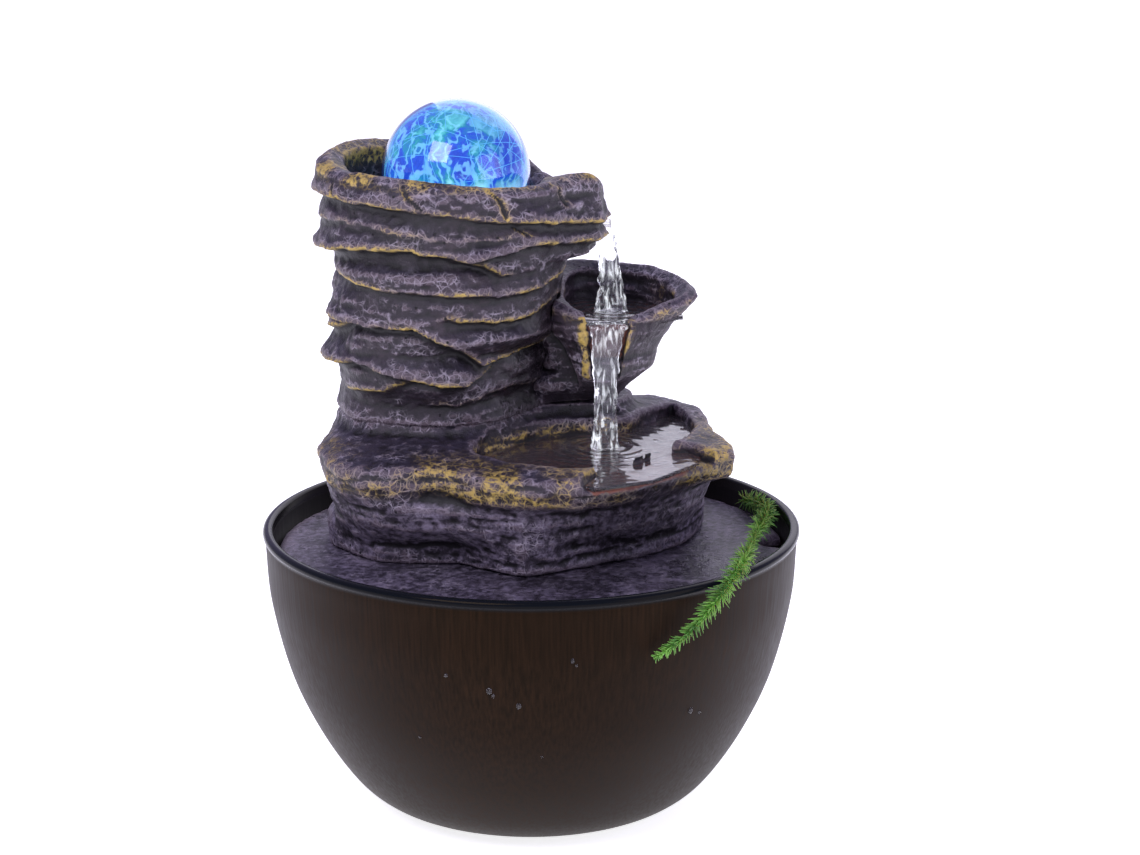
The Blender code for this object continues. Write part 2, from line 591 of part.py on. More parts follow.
def buildChamber():
    back = -pumpHalfLength - gap
    low = (chamberFront, -pumpHalfWidth, pumpBottom)
    cover = place("impeller_cover", boxMesh("impeller_cover", low, (back, pumpHalfWidth, pumpTop), 1.2 * mm),
                  blackPlastic())
    spigot = rodMesh("outlet_spigot", (spigotX, 0, pumpTop - 3 * mm), (spigotX, 0, spigotTop), spigotRadius)
    join(cover, cutter("outlet_spigot", spigot))
    chamber = rodMesh("impeller_chamber", (-30.4 * mm, 0, shaftZ), (back + 2 * mm, 0, shaftZ), 10.8 * mm, 32)
    outlet = rodMesh("outlet_bore", (spigotX, 0, shaftZ + 8 * mm), (spigotX, 0, spigotTop + 2 * mm), 2.6 * mm)
    bushPocket = rodMesh("front_bush_pocket", (-32 * mm, 0, shaftZ), (-28 * mm, 0, shaftZ), 2.6 * mm)
    tools = [chamber, outlet, bushPocket]
    for index in range(6):
        angle = math.radians(60 * index)
        y, z = 6.2 * mm * math.cos(angle), shaftZ + 6.2 * mm * math.sin(angle)
        tools.append(rodMesh(f"inlet_hole_{index + 1}", (-36 * mm, y, z), (-28 * mm, y, z), 1.9 * mm, 12))
    for data in tools:
        cut(cover, cutter(data.name, data))


def buildRotor():
    shaft = rodMesh("rotor_shaft", (-31.4 * mm, 0, shaftZ), (11.4 * mm, 0, shaftZ), shaftRadius)
    place("rotor_shaft", shaft, material("ceramic_white", (0.75, 0.75, 0.72), 0.25))
    for name, start, end in (("front_bush", -31.7, -30.0), ("rear_bush", 9.3, 11.9)):
        data = rodMesh(name, (start * mm, 0, shaftZ), (end * mm, 0, shaftZ), 2.3 * mm)
        bush = place(name, data, blackRubber())
        hole = rodMesh(name + "_hole", ((start - 1) * mm, 0, shaftZ), ((end + 1) * mm, 0, shaftZ), shaftHole)
        cut(bush, cutter(name + "_hole", hole))
    bore = cutter("rotor_bore", rodMesh("rotor_bore", (-34 * mm, 0, shaftZ), (14 * mm, 0, shaftZ), shaftHole))
    magnet = place("rotor_magnet", rodMesh("rotor_magnet", (-22 * mm, 0, shaftZ), (8.4 * mm, 0, shaftZ), 6.6 * mm),
                   material("ferrite", (0.06, 0.06, 0.065), 0.4))
    cut(magnet, bore)
    wheel = place("impeller", rodMesh("impeller", (-24 * mm, 0, shaftZ), (-22.3 * mm, 0, shaftZ), 9.2 * mm, 32),
                  material("white_plastic", (0.7, 0.7, 0.68), 0.4))
    hub = rodMesh("impeller_hub", (-29.5 * mm, 0, shaftZ), (-23 * mm, 0, shaftZ), 2.8 * mm)
    join(wheel, cutter("impeller_hub", hub))
    for index in range(3):
        blade = cutter(f"impeller_blade_{index + 1}",
                       boxMesh("impeller_blade", (-29 * mm, -0.6 * mm, -9 * mm), (-23.2 * mm, 0.6 * mm, 9 * mm)))
        blade.location = (0, 0, shaftZ)
        blade.rotation_euler = (math.radians(60 * index), 0, 0)
        join(wheel, blade)
    cut(wheel, bore)


def buildStrainer():
    wall = 1.6 * mm
    back = chamberFront - gap
    low = (strainerFront, -pumpHalfWidth, pumpBottom)
    shell = place("strainer_cover", boxMesh("strainer_cover", low, (back, pumpHalfWidth, pumpTop), 1.2 * mm),
                  blackPlastic())
    inside = boxMesh("strainer_inside", (strainerFront + wall, -pumpHalfWidth + wall, pumpBottom + wall),
                     (back + 5 * mm, pumpHalfWidth - wall, pumpTop - wall))
    cut(shell, cutter("strainer_inside", inside))
    for index in range(5):
        y = (index - 2) * 5.2 * mm
        slot = boxMesh(f"strainer_slot_{index + 1}", (strainerFront - 2 * mm, y - 1.1 * mm, 22 * mm),
                       (strainerFront + 4 * mm, y + 1.1 * mm, 35 * mm))
        cut(shell, cutter(slot.name, slot))
    foam = boxMesh("foam_filter", (strainerFront + wall + gap, -14.6 * mm, 12.4 * mm),
                   (back - 1 * mm, 14.6 * mm, 35.6 * mm), 0.8 * mm)
    place("foam_filter", foam, material("filter_foam", (0.02, 0.02, 0.022), 0.95))
    face = strainerFront - gap
    slider = place("flow_slider", boxMesh("flow_slider", (face - 1.6 * mm, -13.5 * mm, 13 * mm),
                                          (face, 13.5 * mm, 20.4 * mm), 0.5 * mm), blackPlastic())
    nub = boxMesh("slider_nub", (face - 4 * mm, -3 * mm, 15.6 * mm), (face - 1 * mm, 3 * mm, 17.6 * mm))
    join(slider, cutter("slider_nub", nub))


# ---------------------------------------------------------------- fern sprig

def buildFern():
    stem = [(86, 48, 107.5), (92, 27, 112), (93, 10, 112.5), (88, -14, 113), (82, -50, 116), (77, -74, 116.5),
            (68, -89, 108.5), (57, -94, 97), (46, -97, 89.5)]
    route = throughPoints([Vector(point) * mm for point in stem], 3, closed=False)
    place("fern_sprig", wireMesh("fern_sprig", route, 1.6 * mm), material("fern_green", (0.06, 0.2, 0.03), 0.6))


buildBowl()
buildPlate()
buildLowerBasin()
buildTrunk()
buildUpperBasin()
buildMiddleBasin()
buildBall()
buildLamp()
buildLead()
buildRiser()
buildPumpBody()
buildChamber()
buildRotor()
buildStrainer()
buildFern()
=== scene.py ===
import itertools
import json
import math

import bmesh
import bpy
import numpy as np
from mathutils import Matrix, Vector

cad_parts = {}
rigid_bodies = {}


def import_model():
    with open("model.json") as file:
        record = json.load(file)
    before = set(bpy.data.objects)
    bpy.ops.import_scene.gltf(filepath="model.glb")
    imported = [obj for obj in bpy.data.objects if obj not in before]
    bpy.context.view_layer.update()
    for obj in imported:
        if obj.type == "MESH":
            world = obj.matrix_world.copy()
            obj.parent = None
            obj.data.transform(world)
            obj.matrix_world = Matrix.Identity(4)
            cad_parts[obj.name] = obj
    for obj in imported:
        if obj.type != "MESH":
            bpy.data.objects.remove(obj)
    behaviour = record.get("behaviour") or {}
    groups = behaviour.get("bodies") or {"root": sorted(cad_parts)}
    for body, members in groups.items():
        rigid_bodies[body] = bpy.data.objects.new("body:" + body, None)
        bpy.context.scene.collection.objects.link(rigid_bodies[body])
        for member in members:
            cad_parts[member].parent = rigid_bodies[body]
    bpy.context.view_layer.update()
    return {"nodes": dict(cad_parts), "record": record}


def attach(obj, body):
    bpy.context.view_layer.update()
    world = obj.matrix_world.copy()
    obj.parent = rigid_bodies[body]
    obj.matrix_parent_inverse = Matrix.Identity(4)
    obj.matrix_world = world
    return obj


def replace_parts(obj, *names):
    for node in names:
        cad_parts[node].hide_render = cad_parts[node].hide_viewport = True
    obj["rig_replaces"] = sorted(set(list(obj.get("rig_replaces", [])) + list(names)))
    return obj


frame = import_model()

mm = 0.001
bpy.context.scene.view_settings.view_transform = "Standard"
print("frame loaded:", len(frame["nodes"]), "nodes")


# camera and light

cameraView = {
    "spot": (15.12 * mm, -1065.5 * mm, 423.9 * mm),
    "down": 14.386,              # degrees below level
    "lens": 89.23,               # mm on a 36 mm wide sensor
}

camera = bpy.data.objects.new("camera", bpy.data.cameras.new("camera"))
bpy.context.scene.collection.objects.link(camera)
camera.location = cameraView["spot"]
camera.rotation_euler = (math.radians(90 - cameraView["down"]), 0, 0)
camera.data.lens = cameraView["lens"]
camera.data.sensor_width = 36
camera.data.clip_start = 0.05
bpy.context.scene.camera = camera


def hexColour(text):
    # sRGB hex to the linear colour that nodes take
    values = [int(text[at:at + 2], 16) / 255 for at in (1, 3, 5)]
    linear = [value / 12.92 if value <= 0.04045 else ((value + 0.055) / 1.055) ** 2.4 for value in values]
    return (*linear, 1.0)


lightPlan = {
    "key": {"spot": (-0.45, -0.75, 0.95), "aim": (-0.01, 0, 0.17), "size": 0.6, "power": 8,
            "colour": "#f6f3ff"},
    "fill": {"spot": (0.85, -0.55, 0.45), "aim": (0, 0, 0.12), "size": 0.7, "power": 3, "colour": "#efeeff"},
    "back": {"spot": (0.25, 0.85, 0.8), "aim": (0, 0, 0.2), "size": 1.1, "power": 4, "colour": "#ffffff"},
}


def areaLight(name, plan):
    lamp = bpy.data.objects.new(name, bpy.data.lights.new(name, "AREA"))
    bpy.context.scene.collection.objects.link(lamp)
    lamp.location = plan["spot"]
    aim = Vector(plan["aim"]) - Vector(plan["spot"])
    lamp.rotation_euler = aim.to_track_quat("-Z", "Y").to_euler()
    lamp.data.size = plan["size"]
    lamp.data.energy = plan["power"]
    lamp.data.color = hexColour(plan["colour"])[:3]


for lightName, plan in lightPlan.items():
    areaLight(lightName, plan)

world = bpy.data.worlds.new("studio")
bpy.context.scene.world = world
world.use_nodes = True
print("studio lit")


# helpers for materials

multiply, add, subtract, greatest = [
    {"operation": name} for name in ("MULTIPLY", "ADD", "SUBTRACT", "MAXIMUM")]
blend = {"data_type": "RGBA"}    # share, first and second colour are then sockets 0, 6 and 7


def colourOf(value):
    # a hex text, a number for a grey, or a linear colour as it is
    if isinstance(value, str):
        return hexColour(value)
    return value if isinstance(value, tuple) else (value, value, value, 1)


def connect(tree, node, inputs):
    # a node or an output is linked into its socket, and a value is set on it
    for key, value in inputs.items():
        socket = node.inputs[key]
        if isinstance(value, bpy.types.Node):
            value = next(output for output in value.outputs if output.enabled)
        if isinstance(value, bpy.types.NodeSocket):
            tree.links.new(value, socket)
        else:
            socket.default_value = colourOf(value) if socket.type == "RGBA" else value


def addNode(tree, kind, settings=None, inputs=None, stops=()):
    # stops are a colour ramp's (place, colour) pairs
    node = tree.nodes.new("ShaderNode" + kind)
    for key, value in (settings or {}).items():
        setattr(node, key, value)
    if stops:
        # every stop is made before any is moved, because the ramp sorts a new one in
        elements = node.color_ramp.elements
        while len(elements) < len(stops):
            elements.new(0.5)
        for element, (place, value) in zip(elements, stops):
            element.position = place
            element.color = colourOf(value)
    connect(tree, node, inputs or {})
    return node


def newMaterial(name):
    made = bpy.data.materials.new(name)
    made.use_nodes = True
    tree = made.node_tree
    return made, tree, tree.nodes["Principled BSDF"]


def paintSky(tree):
    # white down at the horizon, a dim ceiling above, so the folds keep their shade
    coords = addNode(tree, "TexCoord").outputs["Generated"]
    up = addNode(tree, "SeparateXYZ", {}, {0: coords}).outputs["Z"]
    sky = addNode(tree, "ValToRGB", {}, {0: up}, [(0.0, 1), (0.14, "#9d96bf"), (0.75, "#b3abd6")])
    connect(tree, tree.nodes["Background"], {"Color": sky})


paintSky(world.node_tree)


# helpers for meshes

def newPiece(name, mesh, body, finish):
    piece = bpy.data.objects.new(name, mesh)
    bpy.context.scene.collection.objects.link(piece)
    mesh.materials.clear()
    mesh.materials.append(finish)
    mesh.shade_smooth()
    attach(piece, body)
    return piece


def meshOf(bm, name):
    bmesh.ops.recalc_face_normals(bm, faces=bm.faces)
    mesh = bpy.data.meshes.new(name)
    bm.to_mesh(mesh)
    bm.free()
    return mesh


def spunMesh(name, profile, steps):
    # a profile of (radius, height) in millimetres, turned all the way round Z
    bm = bmesh.new()
    corners = [bm.verts.new((radius * mm, 0, height * mm)) for radius, height in profile]
    edges = [bm.edges.new(pair) for pair in zip(corners, corners[1:])]
    bmesh.ops.spin(bm, geom=corners + edges, cent=(0, 0, 0), axis=(0, 0, 1), angle=2 * math.pi,
                   steps=steps, use_merge=True)
    bmesh.ops.remove_doubles(bm, verts=bm.verts, dist=0.00001)
    return meshOf(bm, name)


def evaluated(piece):
    bpy.context.view_layer.update()
    return bpy.data.meshes.new_from_object(piece.evaluated_get(bpy.context.evaluated_depsgraph_get()))


def latticeNoise(points, cell, seed):
    # smooth noise from -1 to 1 with lumps about one cell across
    grid = points / np.asarray(cell)
    base = np.floor(grid).astype(np.int64)
    part = grid - base
    ease = part * part * (3 - 2 * part)
    total = np.zeros(len(points))
    for corner in itertools.product((0, 1), repeat=3):
        spot = base + corner
        mixed = (spot[:, 0] * 73856093) ^ (spot[:, 1] * 19349663) ^ (spot[:, 2] * 83492791)
        mixed = mixed ^ (seed * 265443577)
        mixed = ((mixed ^ (mixed >> 13)) * 1274126177) & 0x7fffffff
        value = ((mixed ^ (mixed >> 15)) & 0xffff) / 32767.5 - 1
        total += value * np.prod(np.where(corner, ease, 1 - ease), axis=1)
    return total


def layeredNoise(points, cell, seed, layers):
    total = np.zeros(len(points))
    share = 1.0
    for layer in range(layers):
        total += share * latticeNoise(points, np.asarray(cell) / 2 ** layer, seed + layer)
        share *= 0.5
    return total / (2 - 2 * share)


def smoothstep(low, high, value):
    share = np.clip((value - low) / (high - low), 0, 1)
    return share * share * (3 - 2 * share)


def neighbourMean(values, edges, count, rounds):
    # each point's value averaged with its neighbours', again and again
    first, second = edges[:, 0], edges[:, 1]
    links = np.bincount(first, minlength=count) + np.bincount(second, minlength=count)
    links = np.maximum(links, 1)
    for _ in range(rounds):
        for axis in range(values.shape[1]):
            column = values[:, axis]
            total = np.bincount(first, column[second], count) + np.bincount(second, column[first], count)
            values[:, axis] = 0.5 * column + 0.5 * total / links
    return values


def setAttribute(mesh, name, values):
    layer = mesh.attributes.new(name, "FLOAT", "POINT")
    layer.data.foreach_set("value", np.ascontiguousarray(values, np.float32))


# painted polyresin: low sheen, dark violet-brown with black hollows and painted shadow under the folds, brushed
# mustard and pale lilac on what stands out

def rockFinish(name):
    made, tree, shader = newMaterial(name)
    coords = addNode(tree, "TexCoord").outputs["Object"]
    crest, hollow, gold, wet, silt, mist = [
        addNode(tree, "Attribute", {"attribute_name": layer}).outputs["Fac"]
        for layer in ("crest", "hollow", "gold", "wet", "silt", "mist")]
    broad = addNode(tree, "TexNoise", {}, {"Vector": coords, "Scale": 45, "Detail": 6, "Roughness": 0.6})
    fine = addNode(tree, "TexNoise", {}, {"Vector": coords, "Scale": 420, "Detail": 5, "Roughness": 0.65})
    grain = addNode(tree, "TexNoise", {}, {"Vector": coords, "Scale": 1500, "Detail": 3})
    colour = addNode(tree, "ValToRGB", {}, {0: broad}, [(0.28, "#181216"), (0.48, "#1e1620"), (0.66, "#32272e"),
                                                        (0.82, "#2b2738")])
    speckle = addNode(tree, "ValToRGB", {}, {0: fine}, [(0.45, 0), (0.75, 0.6)])
    colour = addNode(tree, "Mix", blend, {0: speckle, 6: colour, 7: "#3b323e"})
    # upward faces hold a grey wash
    normal = addNode(tree, "NewGeometry").outputs["Normal"]
    up = addNode(tree, "SeparateXYZ", {}, {0: normal}).outputs["Z"]
    upward = addNode(tree, "ValToRGB", {}, {0: up}, [(0.25, 0), (0.85, 1)])
    held = addNode(tree, "ValToRGB", {}, {0: fine}, [(0.35, 0.15), (0.65, 0.75)])
    wash = addNode(tree, "Math", multiply, {0: upward, 1: held})
    colour = addNode(tree, "Mix", blend, {0: wash, 6: colour, 7: "#383544"})
    # painted light: a violet-grey lift of the shaded skirt and plate, broken into specks
    fineShare = addNode(tree, "Math", multiply, {0: fine, 1: 0.6})
    broadShare = addNode(tree, "Math", multiply, {0: broad, 1: 0.4})
    specks = addNode(tree, "Math", add, {0: fineShare, 1: broadShare})
    liftShare = addNode(tree, "ValToRGB", {}, {0: specks}, [(0.44, 0.1), (0.6, 1)])
    liftShare = addNode(tree, "Math", {**multiply, "use_clamp": True}, {0: mist, 1: liftShare})
    colour = addNode(tree, "Mix", blend, {0: liftShare, 6: colour, 7: "#91879a"})
    # crackle veins: large cells about 4 mm, small ones about 2 mm
    shift = addNode(tree, "TexNoise", {}, {"Vector": coords, "Scale": 260, "Detail": 3}).outputs["Color"]
    bent = addNode(tree, "Mix", {**blend, "blend_type": "ADD"}, {0: 0.0035, 6: coords, 7: shift})
    largeCells, smallCells = [addNode(tree, "TexVoronoi", {"feature": "DISTANCE_TO_EDGE"},
                                      {"Vector": bent, "Scale": scale}) for scale in (240, 480)]
    largeVein = addNode(tree, "ValToRGB", {}, {0: largeCells}, [(0.02, 1), (0.075, 0)])
    smallVein = addNode(tree, "ValToRGB", {}, {0: smallCells}, [(0.02, 1), (0.09, 0)])
    patch = addNode(tree, "TexNoise", {}, {"Vector": coords, "Scale": 70, "Detail": 4, "Roughness": 0.65})
    onCrest = addNode(tree, "Math", multiply, {0: crest, 1: 0.28})
    patch = addNode(tree, "Math", add, {0: patch, 1: onCrest})
    patch = addNode(tree, "ValToRGB", {}, {0: patch}, [(0.52, 0), (0.76, 0.9)])
    fainter = addNode(tree, "Math", multiply, {0: smallVein, 1: 0.6})
    vein = addNode(tree, "Math", greatest, {0: largeVein, 1: fainter})
    vein = addNode(tree, "Math", multiply, {0: vein, 1: patch})
    outOfHollow = addNode(tree, "Math", {**subtract, "use_clamp": True}, {0: 0.85, 1: hollow})
    veinShare = addNode(tree, "Math", {**multiply, "use_clamp": True}, {0: vein, 1: outOfHollow})
    colour = addNode(tree, "Mix", blend, {0: veinShare, 6: colour, 7: "#aea5b1"})
    # dry-brushed crests, pale first
    rough = addNode(tree, "Math", subtract, {0: fine, 1: 0.5})
    rough = addNode(tree, "Math", multiply, {0: rough, 1: 1.6})
    rough = addNode(tree, "Math", add, {0: crest, 1: rough})
    pale = addNode(tree, "ValToRGB", {}, {0: rough}, [(0.42, 0), (0.85, 0.55)])
    colour = addNode(tree, "Mix", blend, {0: pale, 6: colour, 7: "#62555c"})
    # mustard over it, solid on the lips and caught in the crackle beside them
    brushed = addNode(tree, "Math", subtract, {0: fine, 1: 0.52})
    brushed = addNode(tree, "Math", multiply, {0: brushed, 1: 2.2})
    brushed = addNode(tree, "Math", add, {0: gold, 1: brushed})
    brushed = addNode(tree, "ValToRGB", {}, {0: brushed}, [(0.62, 0), (0.9, 0.85)])
    halfVein = addNode(tree, "Math", multiply, {0: smallVein, 1: 0.5})
    network = addNode(tree, "Math", greatest, {0: largeVein, 1: halfVein})
    network = addNode(tree, "Math", multiply, {0: network, 1: 1.3})
    network = addNode(tree, "Math", {**multiply, "use_clamp": True}, {0: gold, 1: network})
    goldShare = addNode(tree, "Math", greatest, {0: brushed, 1: network})
    mustard = addNode(tree, "ValToRGB", {}, {0: fine}, [(0.35, "#7d6c30"), (0.6, "#bda252")])
    colour = addNode(tree, "Mix", blend, {0: goldShare, 6: colour, 7: mustard})
    # black wash in hollows, with painted shadow under the fold lips, and pinholes left by bubbles in about one
    # cell of five
    pits = addNode(tree, "TexVoronoi", {}, {"Vector": coords, "Scale": 260, "Randomness": 1.0})
    pit = addNode(tree, "ValToRGB", {}, {0: pits.outputs["Distance"]}, [(0.1, 1), (0.17, 0)])
    chosen = addNode(tree, "SeparateColor", {}, {0: pits.outputs["Color"]}).outputs[0]
    chosen = addNode(tree, "ValToRGB", {}, {0: chosen}, [(0.78, 0), (0.8, 1)])
    pit = addNode(tree, "Math", multiply, {0: pit, 1: chosen})
    black = addNode(tree, "Math", {**multiply, "use_clamp": True}, {0: hollow, 1: 1.25})
    colour = addNode(tree, "Mix", blend, {0: black, 6: colour, 7: "#0c090c"})
    colour = addNode(tree, "Mix", blend, {0: pit, 6: colour, 7: "#050405"})
    soaked = addNode(tree, "Math", {**multiply, "use_clamp": True}, {0: wet, 1: 0.62})
    colour = addNode(tree, "Mix", blend, {0: soaked, 6: colour, 7: "#0d0a0c"})
    bottom = addNode(tree, "ValToRGB", {}, {0: broad}, [(0.35, "#4a2618"), (0.65, "#8c4a30")])
    colour = addNode(tree, "Mix", blend, {0: silt, 6: colour, 7: bottom})
    gloss = addNode(tree, "MapRange", {}, {"Value": wet, "To Min": 0.5, "To Max": 0.18})
    # relief finer than the mesh: grit, pinholes and the edges of the crackle
    grit = addNode(tree, "Math", multiply, {0: fine, 1: 0.9})
    finest = addNode(tree, "Math", multiply, {0: grain, 1: 0.25})
    height = addNode(tree, "Math", add, {0: grit, 1: finest})
    sunk = addNode(tree, "Math", multiply, {0: pit, 1: 0.8})
    height = addNode(tree, "Math", subtract, {0: height, 1: sunk})
    raised = addNode(tree, "Math", multiply, {0: vein, 1: 0.25})
    height = addNode(tree, "Math", add, {0: height, 1: raised})
    bump = addNode(tree, "Bump", {}, {"Height": height, "Strength": 1.0, "Distance": 0.0007})
    connect(tree, shader, {"Base Color": colour, "Roughness": gloss, "Normal": bump,
                           "Specular IOR Level": 0.45})
    return made


# rock: each casting is remeshed finely, then its folds are pushed out and undercut

columnFolds = {
    "centre": (-33, 12),
    "crestHeight": 3.2,          # mm that a fold's lip stands out
    "undercut": 3.9,             # mm that is cut away under it
    # folds as (degrees round from the front, height in mm), to the right positive
    "folds": [
        [(-180, 244), (-130, 246), (-90, 243), (-55, 244), (-10, 241), (30, 237), (80, 232), (130, 238),
         (180, 244)],
        [(-95, 233), (-50, 236), (-25, 233), (10, 231), (30, 231)],
        [(-180, 224), (-120, 219), (-90, 221), (-50, 225), (-20, 227), (5, 225), (20, 221), (30, 216)],
        [(10, 223), (30, 226), (50, 227), (90, 224), (130, 228), (180, 224)],
        [(-90, 212), (-60, 214), (-25, 210), (35, 208), (100, 213), (180, 208)],
        [(-75, 197), (-15, 196), (10, 188), (25, 180), (50, 182), (90, 186), (140, 180), (180, 186)],
        [(-180, 186), (-120, 190), (-90, 189), (-50, 197)],
        [(-180, 170), (-120, 173), (-55, 180), (-30, 177), (0, 173), (15, 172), (45, 181)],
        [(5, 200), (30, 197), (55, 200), (80, 203), (130, 199), (180, 201)],
        [(-75, 166), (-40, 170), (-20, 174)],
        [(-12, 164), (10, 163), (60, 168), (120, 165), (180, 160)],
    ],
    "strength": [0.9, 0.35, 1.3, 1.0, 0.75, 1.45, 0.7, 1.2, 0.7, 0.5, 0.4],
    # cracks down the rim's band, as (height, degrees round)
    "cracks": [[(240, -5), (246, -15), (252, -20)], [(231, 40), (238, 30), (245, 27), (252, 18)],
               [(240, 62), (246, 58), (252, 60)], [(243, -58), (252, -62)]],
    # gold paint on each fold, 0 to 1
    "paint": [0.8, 0.45, 1.0, 0.9, 1.0, 1.0, 0.9, 0.9, 0.8, 0.8, 0.2],
}


def foldRelief(angle, height, points, plan):
    # lip and undercut of every fold, and how near each point is to a painted lip
    push = np.zeros(len(angle))
    paint = np.zeros(len(angle))
    shadow = np.zeros(len(angle))
    waver = 1.5 * layeredNoise(points, 15, 11, 3) + 0.7 * layeredNoise(points, 4, 17, 2)
    fade = 0.75 + 0.45 * layeredNoise(points, (30, 30, 14), 23, 2)
    for fold, strength, colour in zip(plan["folds"], plan["strength"], plan["paint"]):
        turns, heights = zip(*fold)
        side = height - np.interp(angle, turns, heights) - waver
        inside = np.ones(len(angle))
        if turns[-1] - turns[0] < 359:
            # a fold that doesn't run all the way round dies out, at the back too
            first, last = max(turns[0], -170), min(turns[-1], 170)
            inside = smoothstep(first - 10, first + 6, angle) * (1 - smoothstep(last - 6, last + 10, angle))
        below = np.clip(-side, 0, None)
        above = np.clip(side, 0, None)
        lip = plan["crestHeight"] * np.where(side >= 0, np.exp(-(above / 8.5) ** 1.6), np.exp(-below / 0.9))
        cut = plan["undercut"] * (1 - np.exp(-below / 1.0)) * np.exp(-(below / 8.0) ** 1.7)
        push += strength * inside * fade * (lip - np.where(side < 0, cut, 0))
        near = np.exp(-(np.where(side > 0, side / 1.1, side / 0.7)) ** 2)
        paint = np.maximum(paint, colour * inside * near)
        # painted shadow under each lip, darkest just below it
        dark = np.where(side < 0, (1 - np.exp(-below / 0.7)) * np.exp(-(below / 3.2) ** 1.5), 0)
        shadow = np.maximum(shadow, strength * inside * dark)
    return push, paint, shadow


def prism(name, outline, low, high):
    # an outline of (x, height) in millimetres, drawn out along Y from low to high
    bm = bmesh.new()
    corners = [bm.verts.new((x * mm, low * mm, height * mm)) for x, height in outline]
    face = bm.faces.new(corners)
    grown = bmesh.ops.extrude_face_region(bm, geom=[face])
    moved = [item for item in grown["geom"] if isinstance(item, bmesh.types.BMVert)]
    bmesh.ops.translate(bm, verts=moved, vec=(0, (high - low) * mm, 0))
    tool = bpy.data.objects.new(name, meshOf(bm, name))
    bpy.context.scene.collection.objects.link(tool)
    return tool


def remeshed(name, nodes, voxel, shifts=None, tools=()):
    bm = bmesh.new()
    for node in nodes:
        part = bmesh.new()
        part.from_mesh(frame["nodes"][node].data)
        bmesh.ops.remove_doubles(part, verts=part.verts, dist=0.00002)
        bmesh.ops.translate(part, verts=part.verts, vec=(shifts or {}).get(node, (0, 0, 0)))
        copy = bpy.data.meshes.new(node)
        part.to_mesh(copy)
        part.free()
        bm.from_mesh(copy)
        bpy.data.meshes.remove(copy)
    mesh = bpy.data.meshes.new(name)
    bm.to_mesh(mesh)
    bm.free()
    rough = bpy.data.objects.new(name + "Rough", mesh)
    bpy.context.scene.collection.objects.link(rough)
    for tool in tools:
        carve = rough.modifiers.new(tool.name, "BOOLEAN")
        carve.operation = "DIFFERENCE"
        carve.object = tool
        carve.solver = "EXACT"
    change = rough.modifiers.new("remesh", "REMESH")
    change.mode = "VOXEL"
    change.voxel_size = voxel * mm
    made = evaluated(rough)
    for used in (rough, *tools):
        bpy.data.objects.remove(used, do_unlink=True)
    return made


def readMesh(mesh):
    count = len(mesh.vertices)
    points = np.empty(count * 3)
    mesh.vertices.foreach_get("co", points)
    edges = np.empty(len(mesh.edges) * 2, np.int64)
    mesh.edges.foreach_get("vertices", edges)
    return points.reshape(-1, 3) / mm, edges.reshape(-1, 2)


def normalsOf(mesh):
    values = np.empty(len(mesh.vertices) * 3)
    mesh.vertices.foreach_get("normal", values)
    return values.reshape(-1, 3)


def writePoints(mesh, points):
    mesh.vertices.foreach_set("co", (points * mm).ravel())
    mesh.update()


def finishRock(mesh, gold, shadow, wet, silt, mist):
    # what stands out of the smoothed surface is brushed light, what lies under it is left dark, and the painted
    # shadow under the fold lips joins the hollows
    points, edges = readMesh(mesh)
    normals = normalsOf(mesh)
    count = len(points)
    near = np.sum((points - neighbourMean(points.copy(), edges, count, 6)) * normals, axis=1)
    wide = np.sum((points - neighbourMean(points.copy(), edges, count, 30)) * normals, axis=1)
    relief = near / 0.12 + wide / 0.55
    setAttribute(mesh, "crest", np.clip(relief * 0.5, 0, 1))
    setAttribute(mesh, "hollow", np.clip(np.maximum(-relief * 0.45, shadow), 0, 1))
    setAttribute(mesh, "gold", np.clip(gold * (0.85 + 0.4 * np.clip(relief, -0.6, 1.0)), 0, 1))
    setAttribute(mesh, "wet", np.clip(wet, 0, 1))
    setAttribute(mesh, "silt", np.clip(silt, 0, 1))
    setAttribute(mesh, "mist", np.clip(mist, 0, 1))


